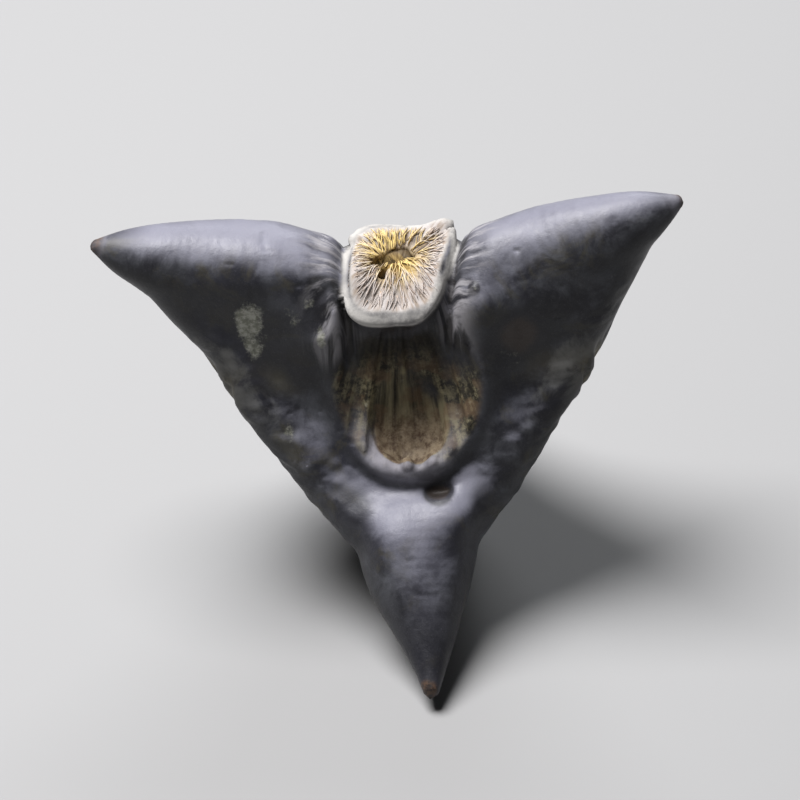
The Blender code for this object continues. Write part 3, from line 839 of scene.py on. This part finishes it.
class CaltropShellSettings(bpy.types.PropertyGroup):
    """What a user would change on the shell"""

    shell_tone: bpy.props.FloatVectorProperty(
        name="Shell",
        description="Colour of the clean shell",
        subtype="COLOR",
        size=3,
        min=0.0,
        max=1.0,
        default=SHELL_TONE,
    )
    deep_tone: bpy.props.FloatVectorProperty(
        name="Deep tone",
        description="Colour of the shell in its dark patches",
        subtype="COLOR",
        size=3,
        min=0.0,
        max=1.0,
        default=(0.020, 0.020, 0.024),
    )
    dust_tone: bpy.props.FloatVectorProperty(
        name="Dust",
        description="Colour of the pale dust and wear on the ridges",
        subtype="COLOR",
        size=3,
        min=0.0,
        max=1.0,
        default=(0.245, 0.240, 0.275),
    )
    fibre_tone: bpy.props.FloatVectorProperty(
        name="Fibres",
        description="Colour of the olive fibres in the hollows",
        subtype="COLOR",
        size=3,
        min=0.0,
        max=1.0,
        default=(0.26, 0.228, 0.135),
    )
    collar_tone: bpy.props.FloatVectorProperty(
        name="Collar",
        description="Colour of the crown's pale rim",
        subtype="COLOR",
        size=3,
        min=0.0,
        max=1.0,
        default=(0.47, 0.455, 0.43),
    )
    # Lavender on what faces up: partly dust, partly painted sheen from the light above
    dust_and_sheen_tone: bpy.props.FloatVectorProperty(
        name="Bloom",
        description="Colour of the lavender bloom on what faces up",
        subtype="COLOR",
        size=3,
        min=0.0,
        max=1.0,
        default=(0.215, 0.215, 0.262),
    )
    relief_share: bpy.props.FloatProperty(
        name="Relief",
        description="How strong the fine relief is, as a share of the real nut's",
        subtype="FACTOR",
        min=0.0,
        max=1.5,
        default=1.0,
    )


class CaltropBristleSettings(bpy.types.PropertyGroup):
    """What a user would change on the bristles"""

    count: bpy.props.IntProperty(
        name="Bristles",
        description="How many bristles lie on the crown",
        min=20,
        max=1200,
        default=760,
    )
    thickness: bpy.props.FloatProperty(
        name="Thickness",
        description="Diameter of a bristle at its thickest",
        unit="LENGTH",
        precision=5,
        min=0.00004,
        max=0.0004,
        default=0.0001,
    )
    straw_tone: bpy.props.FloatVectorProperty(
        name="Straw",
        description="Colour of the bristles beside the pore",
        subtype="COLOR",
        size=3,
        min=0.0,
        max=1.0,
        default=(0.80, 0.62, 0.24),
    )
    cream_tone: bpy.props.FloatVectorProperty(
        name="Cream",
        description="Colour of the bristles towards the collar's rim",
        subtype="COLOR",
        size=3,
        min=0.0,
        max=1.0,
        default=(0.57, 0.52, 0.49),
    )


class CaltropStageSettings(bpy.types.PropertyGroup):
    """What a user would change on the stage"""

    floor_tone: bpy.props.FloatVectorProperty(
        name="Floor",
        description="Colour of the floor",
        subtype="COLOR",
        size=3,
        min=0.0,
        max=1.0,
        default=(0.34, 0.34, 0.34),
    )
    elevation: bpy.props.FloatProperty(
        name="Camera height",
        description="Angle of the camera above the horizon",
        subtype="ANGLE",
        min=0.0,
        max=math.radians(89),
        default=math.radians(38),
    )
    distance: bpy.props.FloatProperty(
        name="Camera distance",
        description="Distance from the camera to the nut",
        unit="LENGTH",
        min=0.1,
        max=2.0,
        default=0.5,
    )
    view_width: bpy.props.FloatProperty(
        name="View width",
        description="Width that the picture shows at the nut",
        unit="LENGTH",
        min=0.02,
        max=0.5,
        default=0.060,
    )


def shell_finish(settings):
    """Dusty satin shell: dark blue-grey, pale on its ridges, with olive fibres in its hollows."""
    finish = Finish("dusty_nutshell")
    turn = STAND.transposed()
    mapping = {
        "Vector": finish.node("ShaderNodeTexCoord", {}, {}, "Object"),
        "Location": -(turn @ SEAT) / MM,
        "Rotation": turn.to_euler(),
        "Scale": (1 / MM, 1 / MM, 1 / MM),
    }
    own = finish.node("ShaderNodeMapping", {}, mapping)
    x = finish.node("ShaderNodeSeparateXYZ", {}, {"Vector": own}, 0)
    y = finish.node("ShaderNodeSeparateXYZ", {}, {"Vector": own}, 1)
    z = finish.node("ShaderNodeSeparateXYZ", {}, {"Vector": own}, 2)

    # Streaks of the dishes, of the crown and its shoulders, and of the side panels
    drop = TALL + 4 - z
    fan = finish.math("ARCTAN2", x, drop)
    reach = finish.math("SQRT", x * x + drop * drop)
    dish_streak = finish.noise(finish.vector(fan * 30, reach * 0.16, y * 0.06), 1.0, 4.0, 0.6)
    pore_x, pore_y = x - PORE_CENTRE[0] / MM, y + 0.6
    away = finish.math("SQRT", pore_x * pore_x + pore_y * pore_y)
    turned = finish.math("ARCTAN2", pore_y, pore_x)
    ring = finish.vector(finish.math("COSINE", turned) * 9, finish.math("SINE", turned) * 9, away * 0.3)
    ray_streak = finish.noise(ring, 1.0, 4.0, 0.6)
    sway = y + 0.5 * finish.math("SINE", z * 0.5)
    panel_streak = finish.noise(finish.vector(sway * 1.8, z * 0.22, x * 0.05), 1.0, 4.0, 0.6)

    # Mottling at several sizes
    broad = finish.noise(own, 0.13, 3.0, 0.5, 0.6)
    cloudy = finish.noise(own, 0.42, 6.0, 0.62, 0.4)
    grain = finish.noise(own, 2.6, 5.0, 0.65)
    dusting = finish.noise(own, 9.0, 2.0, 0.6)

    collar, face, hollow = finish.layer("collar"), finish.layer("face"), finish.layer("hollow")
    cup, lip, beside = finish.layer("cup"), finish.layer("lip"), finish.layer("beside")
    panel, scar, tip = finish.layer("panel"), finish.layer("scar"), finish.layer("tip")
    ridge, groove, shade = finish.layer("ridge"), finish.layer("groove"), finish.layer("shade")
    edge, rib, upward = finish.layer("edge"), finish.layer("rib"), finish.layer("upward")
    pale, brown = finish.layer("pale"), finish.layer("brown")

    tone = finish.mix(finish.fade(cloudy, 0.38, 0.70), settings.deep_tone, settings.shell_tone)
    tone = finish.mix(finish.fade(broad, 0.45, 0.7) * 0.35, tone, (0.052, 0.053, 0.074))
    olive_patch = finish.fade(finish.noise(own, 0.24, 5.0, 0.65, 0.8), 0.52, 0.66)
    tone = finish.mix(olive_patch * 0.5, tone, (0.076, 0.069, 0.044))

    # Painted shade on what faces down and on the horns' far ends, and a lavender layer on what faces up: partly dust,
    # partly painted sheen
    # Painted shade: what faces down is darkened, less so on the front and back faces below the cups
    low_side = finish.fade(finish.math("ABSOLUTE", y), 6.5, 8.0)
    tone = finish.mix(finish.fade(upward, 0.5, -0.2) * (0.75 - low_side * 0.5), tone, (0.011, 0.011, 0.012))
    # Painted shade: the front and back horns darken towards their far ends
    low_end = finish.fade(finish.math("ABSOLUTE", y), 13.5, 18.5)
    tone = finish.mix(low_end * 0.8, tone, (0.016, 0.016, 0.020))
    side_end = finish.fade(finish.math("ABSOLUTE", x), 17.5, 21.5)
    bare = finish.fade(brown + (cloudy - 0.5) * 0.2, 0.04, 0.24)
    tone = finish.mix(bare * 0.55, tone, settings.deep_tone)
    # Partly dust, partly painted sheen: lighter where the surface faces up, less on the far ends of the horns and on
    # the bare patches
    dust_and_sheen = finish.fade(upward + (cloudy - 0.5) * 0.5 + low_side * 0.08, 0.42, 1.0)
    dust_and_sheen = dust_and_sheen * (1 - low_end) * (1 - side_end * 0.85) * (1 - bare * 0.9)
    tone = finish.mix(dust_and_sheen * 0.9, tone, settings.dust_and_sheen_tone)

    # Fibrous ground in the panels and beside the collar
    fibrous = finish.fade(panel_streak, 0.38, 0.66) * panel
    wrinkled = finish.fade(ray_streak, 0.46, 0.60) * beside
    tone = finish.mix(panel * 0.55, tone, (0.055, 0.050, 0.034))
    tone = finish.mix(fibrous * 0.8, tone, settings.fibre_tone)
    tone = finish.mix(beside * 0.35, tone, (0.024, 0.022, 0.022))
    tone = finish.mix(wrinkled * 0.9, tone, (0.30, 0.29, 0.305))

    # Dust and wear on what stands out, painted shade in what lies deep
    worn = finish.fade(ridge + (grain - 0.5) * 0.5, 0.25, 0.85) * (1 - low_end * 0.85) * (1 - bare)
    tone = finish.mix(worn * 0.4, tone, settings.dust_tone)
    strip = finish.fade(edge * 0.7 + ridge * 0.4 + (cloudy - 0.5) * 1.6, 0.5, 0.9) * finish.fade(z, 15.5, 19.5)
    tone = finish.mix(strip * 0.6, tone, (0.16, 0.158, 0.145))
    # Painted shade in the creases, weaker below the cups' lips
    crease_shade = finish.fade(groove + (grain - 0.5) * 0.4, 0.25, 0.9)
    below_lip = low_side * (1 - bare)
    crease_shade = crease_shade * (1 - below_lip * 0.8)
    tone = finish.mix(crease_shade * 0.7, tone, (0.018, 0.015, 0.013))

    # Scales and patches with broken edges
    ragged = finish.noise(own, 1.5, 6.0, 0.75)
    scale_share = finish.fade(pale + (ragged - 0.5) * 1.7 + (cloudy - 0.5) * 0.8, 0.30, 0.85)
    scale_tone = finish.mix(finish.fade(grain, 0.42, 0.6), (0.20, 0.205, 0.155), (0.42, 0.42, 0.36))
    tone = finish.mix(scale_share * 0.8, tone, scale_tone)
    brown_share = finish.fade(brown + (cloudy - 0.5) * 0.8, 0.3, 0.8)
    tone = finish.mix(brown_share * 0.6, tone, (0.070, 0.052, 0.040))

    # Dishes: olive and brown ribs with dark gaps, painted shadow at their tops, the pale lip of the cup with painted
    # light below it, and painted shade where the form closes in
    rib_share = finish.fade(rib * 0.45 + dish_streak * 1.4, 0.62, 1.2)
    ring_share = finish.fade(ragged * 0.9 + dish_streak * 0.6, 0.66, 0.92)
    dish_share = rib_share * cup + ring_share * (1 - cup)
    dish_tone = finish.mix(dish_share, (0.026, 0.022, 0.014), settings.fibre_tone)
    rusty = finish.fade(finish.noise(own, 0.55, 4.0, 0.6), 0.48, 0.6)
    dish_tone = finish.mix(rusty * 0.55, dish_tone, (0.165, 0.105, 0.058))
    flecks = finish.fade(grain, 0.56, 0.70) * finish.fade(ragged, 0.48, 0.62)
    dish_tone = finish.mix(flecks * (1 - cup * 0.7) * 0.6, dish_tone, (0.36, 0.34, 0.27))
    # Painted shadow: the dish darkens nearly to black towards its top, under the crown
    dish_tone = finish.mix(finish.fade(z, 19.0, 22.6) * 0.92, dish_tone, (0.010, 0.009, 0.007))
    tone = finish.mix(hollow, tone, dish_tone)
    cup_floor = finish.mix(finish.fade(ragged, 0.36, 0.62), (0.075, 0.045, 0.028), (0.25, 0.195, 0.13))
    tone = finish.mix(cup * finish.fade(z, 17.4, 15.0) * 0.9, tone, cup_floor)
    # Pale lavender lip of the cup, reaching down over the wall below it: partly the lip's pale colour, partly painted
    # light in the shade under the lip
    lip_and_painted_light_tone = finish.mix(finish.fade(cloudy, 0.42, 0.6), (0.165, 0.160, 0.180), (0.28, 0.272, 0.305))
    tone = finish.mix(lip * 0.9 * (1 - finish.fade(x, 1.5, 4.0) * 0.65), tone, lip_and_painted_light_tone)
    # Painted shade where the form closes in round a point, weaker in the hollows, below the lips and beside the collar
    closed = finish.fade(shade, 0.45, 0.95) * (1 - hollow * 0.6) * (1 - below_lip * 0.8) * (1 - beside * 0.5)
    tone = finish.mix(closed * 0.8, tone, (0.010, 0.009, 0.008))

    # Horn tips, stem scar and crown, with painted shade on the collar's walls, in the pore and in the slits
    tip_tone = finish.mix(finish.fade(grain, 0.4, 0.6), (0.030, 0.022, 0.018), (0.095, 0.058, 0.038))
    tone = finish.mix(finish.fade(tip, 0.2, 0.8) * 0.9, tone, tip_tone)
    scar_tone = finish.mix(finish.fade(grain, 0.4, 0.62), (0.10, 0.075, 0.05), (0.34, 0.29, 0.22))
    tone = finish.mix(scar, tone, scar_tone)
    # Painted shade: the collar's walls below the rim are darkened nearly to black
    wall_shadow_tone = finish.mix(finish.fade(cloudy, 0.4, 0.6), (0.012, 0.011, 0.012), (0.032, 0.031, 0.036))
    tone = finish.mix(finish.layer("wall"), tone, wall_shadow_tone)
    rim_tone = finish.mix(finish.fade(cloudy + (grain - 0.5) * 0.5, 0.36, 0.6), (0.27, 0.262, 0.255), settings.collar_tone)
    tone = finish.mix(collar, tone, rim_tone)
    bed_tone = finish.mix(finish.fade(ray_streak, 0.36, 0.58), (0.31, 0.25, 0.20), (0.48, 0.445, 0.425))
    heart = finish.fade(away, 3.0, 1.1)
    core = finish.fade(away, 1.3, 0.5)
    heart_tone = finish.mix(finish.fade(ray_streak, 0.36, 0.58), (0.14, 0.085, 0.025), (0.50, 0.36, 0.13))
    bed_tone = finish.mix(heart, bed_tone, heart_tone)
    bed_tone = finish.mix(core, bed_tone, (0.22, 0.135, 0.035))
    # Painted shade: the sunk floor of the pore and the slits between the bristles are darkened nearly to black
    bed_tone = finish.mix(finish.layer("sunk"), bed_tone, (0.085, 0.050, 0.014))
    bed_tone = finish.mix(finish.layer("slit"), bed_tone, (0.012, 0.008, 0.004))
    tone = finish.mix(face, tone, bed_tone)
    tone = finish.mix(finish.fade(dusting, 0.55, 0.75) * 0.08, tone, settings.dust_tone)

    rough = 0.44 + 0.16 * finish.fade(cloudy, 0.4, 0.7) + 0.25 * hollow + 0.2 * panel + 0.3 * collar
    rough = rough + 0.12 * worn + (grain - 0.5) * 0.2 - 0.06 * dust_and_sheen
    rough = finish.math("MINIMUM", finish.math("MAXIMUM", rough, 0.32), 0.95)

    height = grain * 0.35 + dusting * 0.12 + cloudy * 0.25
    height = height + dish_streak * hollow * 1.1 + panel_streak * panel * 0.9
    height = height + ray_streak * (beside * 0.8 + face * 1.0 + collar * 0.25)
    normal = finish.node("ShaderNodeBump", {}, {"Strength": 0.55, "Distance": 0.16 * MM, "Height": height})
    linked = {"Base Color": tone, "Roughness": rough, "Normal": normal}
    fixed = {"IOR": 1.5, "Metallic": 0.0, "Specular IOR Level": 0.32}
    shader = finish.node("ShaderNodeBsdfPrincipled", {}, {**fixed, **linked})
    add_output(finish, shader)
    return finish.material


def bristle_finish(settings):
    """Dry bristles, straw by the pore and cream towards the rim."""
    finish = Finish("dry_bristles")
    place = finish.node("ShaderNodeTexCoord", {}, {}, "Object")
    own = finish.node("ShaderNodeVectorMath", {"operation": "SCALE"}, {0: place, "Scale": 1 / MM})
    warmth, along, depth = finish.layer("warmth"), finish.layer("along"), finish.layer("depth")
    grain = finish.noise(own, 5.0, 3.0, 0.6)
    tone = finish.mix(warmth, settings.cream_tone, settings.straw_tone)
    tone = finish.mix(finish.fade(grain, 0.45, 0.7) * 0.4, tone, (0.35, 0.25, 0.16))
    # Painted shade: bristles picked at random to lie deeper are darker
    tone = finish.mix(depth, tone, (0.24, 0.15, 0.10))
    tone = finish.mix(finish.fade(along, 0.25, 0.0) * 0.5, tone, (0.30, 0.17, 0.06))
    rough = 0.55 + 0.2 * grain
    shader = finish.node("ShaderNodeBsdfPrincipled", {}, {"Base Color": tone, "Roughness": rough, "IOR": 1.5})
    add_output(finish, shader)
    return finish.material


def floor_finish(tone):
    finish = Finish("pale_floor")
    own = finish.node("ShaderNodeTexCoord", {}, {}, "Object")
    cloud = finish.noise(own, 6.0, 3.0, 0.5)
    shaded = finish.mix(cloud * 0.06, tone, (0.29, 0.29, 0.29))
    shader = finish.node("ShaderNodeBsdfPrincipled", {}, {"Base Color": shaded, "Roughness": 0.75})
    add_output(finish, shader)
    return finish.material


class WATERCALTROP_OT_add_shell(bpy.types.Operator):
    """Draw the fine shell of the nut, with its relief and its finish"""

    bl_idname = "water_caltrop.add_shell"
    bl_label = "Add Shell"

    def execute(self, context):
        settings = context.scene.caltrop_shell
        mesh = NUT.data.copy()
        shell = bmesh.new()
        shell.from_mesh(mesh)
        bmesh.ops.remove_doubles(shell, verts=shell.verts, dist=0.001 * MM)
        shell.to_mesh(mesh)
        shell.free()
        obj = bpy.data.objects.new("shell", mesh)
        context.scene.collection.objects.link(obj)
        remeshed(obj, FIRST_VOXEL)
        remeshed(obj, FINE_VOXEL * (1))
        mesh = obj.data
        points, normals = coordinates(mesh), facing(mesh)
        own = own_frame(points)
        grown = relief(own, zones(own)) * settings.relief_share * fade(points[:, 2], 0, 0.8 * MM)
        set_coordinates(mesh, points + normals * grown[:, None])
        thin = obj.modifiers.new("fewer_faces", "DECIMATE")
        thin.ratio = min(1.0, SHELL_TRIANGLES / sum(len(face.vertices) - 2 for face in mesh.polygons))
        worked_in(obj)
        mesh = obj.data
        points = coordinates(mesh)
        points[points[:, 2] < FOOT_BAND, 2] = 0.0
        set_coordinates(mesh, points)
        normals = facing(mesh)
        for name, share in zones(own_frame(points)).items():
            add_layer(mesh, name, share)
        broad = bending(mesh, 30)
        fine = bending(mesh, 4)
        add_layer(mesh, "ridge", np.clip(0.9 * fade(broad, 0.12, 0.9) + 0.5 * fade(fine, 0.3, 1.8), 0, 1))
        add_layer(mesh, "groove", np.clip(0.45 * fade(-broad, 0.1, 0.8) + 0.7 * fade(-fine, 0.3, 1.8), 0, 1))
        add_layer(mesh, "shade", shading_in(points, normals))
        add_layer(mesh, "upward", normals[:, 2])
        mesh.shade_smooth()
        mesh.materials.clear()
        mesh.materials.append(shell_finish(settings))
        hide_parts("nut")
        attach(obj, "root")
        return {"FINISHED"}


def bristle_pattern():
    """One straight bristle of unit length and radius, with rings along it, as a mesh to copy."""
    pattern = bmesh.new()
    bmesh.ops.create_cone(pattern, cap_ends=True, segments=5, radius1=1, radius2=1, depth=1)
    bmesh.ops.translate(pattern, vec=(0, 0, 0.5), verts=pattern.verts)
    long_edges = [edge for edge in pattern.edges if abs(edge.verts[0].co.z - edge.verts[1].co.z) > 0.5]
    bmesh.ops.subdivide_edges(pattern, edges=long_edges, cuts=5)
    mesh = bpy.data.meshes.new("bristle_pattern")
    pattern.to_mesh(mesh)
    pattern.free()
    return mesh


class WATERCALTROP_OT_add_bristles(bpy.types.Operator):
    """Lay the bristles on the crown, round the pore"""

    bl_idname = "water_caltrop.add_bristles"
    bl_label = "Add Bristles"

    def execute(self, context):
        settings = context.scene.caltrop_bristles
        random = np.random.default_rng(SEED + 20)
        pattern = bristle_pattern()
        shape = coordinates(pattern)
        knots = 6
        share = np.linspace(0, 1, knots)
        paths, lifts, radii, warmths = [], [], [], []
        for i in range(settings.count):
            turn = math.tau * (i + random.uniform(-0.5, 0.5)) / settings.count * 7 % math.tau
            way = np.array((math.cos(turn), math.sin(turn)))
            start = SPREAD_CENTRE + SPREAD_REACH * way[0] * np.array((1, 0.5))
            line = start + np.linspace(0, 7, 71)[:, None] * MM * way
            reach = 0.1 * MM * np.argmax(crown_plan(line) > -0.5 * MM)
            near = reach * random.uniform(0.0, 0.88)
            far = near + random.uniform(0.8, 1.7) * MM
            steps = near + (far - near) * share
            bent = turn + random.normal(0, 0.08) * (share - 0.3)
            x = start[0] + steps * np.cos(bent)
            y = start[1] + steps * np.sin(bent)
            paths.append(np.stack((x, y, crown_top(x, y) + 0.1 * MM), axis=1))
            lifts.append(random.uniform(0.0, 0.14) * MM * np.sin(math.pi * share))
            radii.append(random.uniform(0.65, 1.0) * settings.thickness / 2)
            from_pore = np.hypot(x - PORE_CENTRE[0], y - PORE_CENTRE[1]) / MM
            warmths.append(np.clip(random.normal(1.95, 0.25) - 0.62 * from_pore, 0, 1))
        own = np.concatenate(paths)
        upright = own @ np.array(STAND).T + np.array(SEAT)
        margin = 0.4 - 0.35 * fade(-own[:, 1], 2 * MM, 3.5 * MM) + 0.7 * fade(own[:, 0] + own[:, 1], 4.2 * MM, 5.6 * MM)
        inside = (crown_plan(own) + margin * MM).reshape(-1, knots)
        barred = slit_depth(own).reshape(-1, knots) > 0.35
        ground = drawn_onto_form(upright).reshape(-1, knots, 3)
        up = np.array(STAND @ Vector((0, 0, 1)))
        cluster = bmesh.new()
        warmth_layer = cluster.verts.layers.float.new("warmth")
        along_layer = cluster.verts.layers.float.new("along")
        depth_layer = cluster.verts.layers.float.new("depth")
        for path, lift, radius, warmth, plan, bar in zip(ground, lifts, radii, warmths, inside, barred):
            kept = np.minimum.accumulate((plan < 0) & ~bar)
            if kept.sum() < 3:
                continue
            path = path + (lift + radius)[:, None] * up
            last = knots - 1 - int(np.argmax(kept[::-1]))
            limit = share[last]
            # Share of painted shade for a bristle taken to lie deeper, picked at random
            deep = random.uniform(0, 1) ** 4
            before = len(cluster.verts)
            cluster.from_mesh(pattern)
            cluster.verts.ensure_lookup_table()
            for vert, (a, b, t) in zip(cluster.verts[before:], shape):
                at = t * limit
                place = np.array([np.interp(at, share, path[:, k]) for k in range(3)])
                ahead = np.array([np.interp(min(at + 0.1, 1), share, path[:, k]) for k in range(3)])
                back = np.array([np.interp(max(at - 0.1, 0), share, path[:, k]) for k in range(3)])
                way = (ahead - back) / np.linalg.norm(ahead - back)
                across = np.cross(up, way)
                across /= np.linalg.norm(across)
                size = radius * (0.45 + 0.55 * math.sin(math.pi * min(t * 1.4 + 0.2, 1) * 0.5)) * (1 - 0.75 * t**3)
                vert.co = place + size * (a * across + b * np.cross(way, across))
                vert[warmth_layer] = float(np.interp(at, share, warmth))
                vert[along_layer] = at
                vert[depth_layer] = deep * 0.8
        bmesh.ops.recalc_face_normals(cluster, faces=cluster.faces)
        mesh = bpy.data.meshes.new("crown_bristles")
        cluster.to_mesh(mesh)
        cluster.free()
        bpy.data.meshes.remove(pattern)
        mesh.shade_smooth()
        mesh.materials.append(bristle_finish(settings))
        obj = bpy.data.objects.new("crown_bristles", mesh)
        context.scene.collection.objects.link(obj)
        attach(obj, "root")
        return {"FINISHED"}


def area_light(name, place, target, size, power, tone):
    data = bpy.data.lights.new(name, "AREA")
    data.shape = "DISK"
    data.size = size
    data.energy = power
    data.color = tone
    light = bpy.data.objects.new(name, data)
    bpy.context.scene.collection.objects.link(light)
    light.location = place
    light.rotation_mode = "QUATERNION"
    light.rotation_quaternion = (target - place).to_track_quat("-Z", "Y")


class WATERCALTROP_OT_add_stage(bpy.types.Operator):
    """Set out the floor, the soft lights and the camera"""

    bl_idname = "water_caltrop.add_stage"
    bl_label = "Add Stage"

    def execute(self, context):
        settings = context.scene.caltrop_stage
        scene = context.scene
        ground = bmesh.new()
        bmesh.ops.create_grid(ground, x_segments=1, y_segments=1, size=1.5)
        mesh = bpy.data.meshes.new("floor")
        ground.to_mesh(mesh)
        ground.free()
        mesh.materials.append(floor_finish(settings.floor_tone))
        floor = bpy.data.objects.new("floor", mesh)
        scene.collection.objects.link(floor)

        world = bpy.data.worlds.new("soft_room")
        scene.world = world
        world.use_nodes = True
        world.node_tree.nodes["Background"].inputs["Color"].default_value = (0.93, 0.95, 1.0, 1)
        world.node_tree.nodes["Background"].inputs["Strength"].default_value = 0.03

        centre = Vector((0.0, 0.0, 0.014))
        area_light("key_light", Vector((-0.11, 0.03, 0.36)), centre, 0.22, 2.7, (1.0, 0.99, 1.0))
        area_light("back_light", Vector((0.06, 0.30, 0.24)), centre, 0.20, 0.6, (0.95, 0.97, 1.0))

        back = Vector((0, -math.cos(settings.elevation), math.sin(settings.elevation)))
        target = Vector((0.0011, 0.0004, 0.0125))
        data = bpy.data.cameras.new("camera")
        data.sensor_width = 36.0
        data.lens = data.sensor_width * settings.distance / settings.view_width
        data.clip_start = 0.01
        camera = bpy.data.objects.new("camera", data)
        scene.collection.objects.link(camera)
        camera.location = target + back * settings.distance
        camera.rotation_mode = "QUATERNION"
        camera.rotation_quaternion = (-back).to_track_quat("-Z", "Y")
        scene.camera = camera
        scene.view_settings.view_transform = "Standard"
        return {"FINISHED"}


class WATERCALTROP_PT_panel(bpy.types.Panel):
    """Lists the nut's pieces and their settings"""

    bl_idname = "WATERCALTROP_PT_panel"
    bl_label = "Water Caltrop Nut"
    bl_space_type = "VIEW_3D"
    bl_region_type = "UI"
    bl_category = "Caltrop"

    def draw(self, context):
        groups = (
            ("caltrop_shell", "water_caltrop.add_shell"),
            ("caltrop_bristles", "water_caltrop.add_bristles"),
            ("caltrop_stage", "water_caltrop.add_stage"),
        )
        for group, operator in groups:
            box = self.layout.box()
            settings = getattr(context.scene, group)
            for name in settings.__annotations__:
                box.prop(settings, name)
            box.operator(operator)


CLASSES = (
    CaltropShellSettings,
    CaltropBristleSettings,
    CaltropStageSettings,
    WATERCALTROP_OT_add_shell,
    WATERCALTROP_OT_add_bristles,
    WATERCALTROP_OT_add_stage,
    WATERCALTROP_PT_panel,
)


def register():
    for cls in CLASSES:
        bpy.utils.register_class(cls)
    bpy.types.Scene.caltrop_shell = bpy.props.PointerProperty(type=CaltropShellSettings)
    bpy.types.Scene.caltrop_bristles = bpy.props.PointerProperty(type=CaltropBristleSettings)
    bpy.types.Scene.caltrop_stage = bpy.props.PointerProperty(type=CaltropStageSettings)


def unregister():
    del bpy.types.Scene.caltrop_stage
    del bpy.types.Scene.caltrop_bristles
    del bpy.types.Scene.caltrop_shell
    for cls in reversed(CLASSES):
        bpy.utils.unregister_class(cls)


def main():
    register()
    bpy.ops.water_caltrop.add_shell()
    bpy.ops.water_caltrop.add_bristles()
    bpy.ops.water_caltrop.add_stage()


if __name__ == "__main__":
    main()
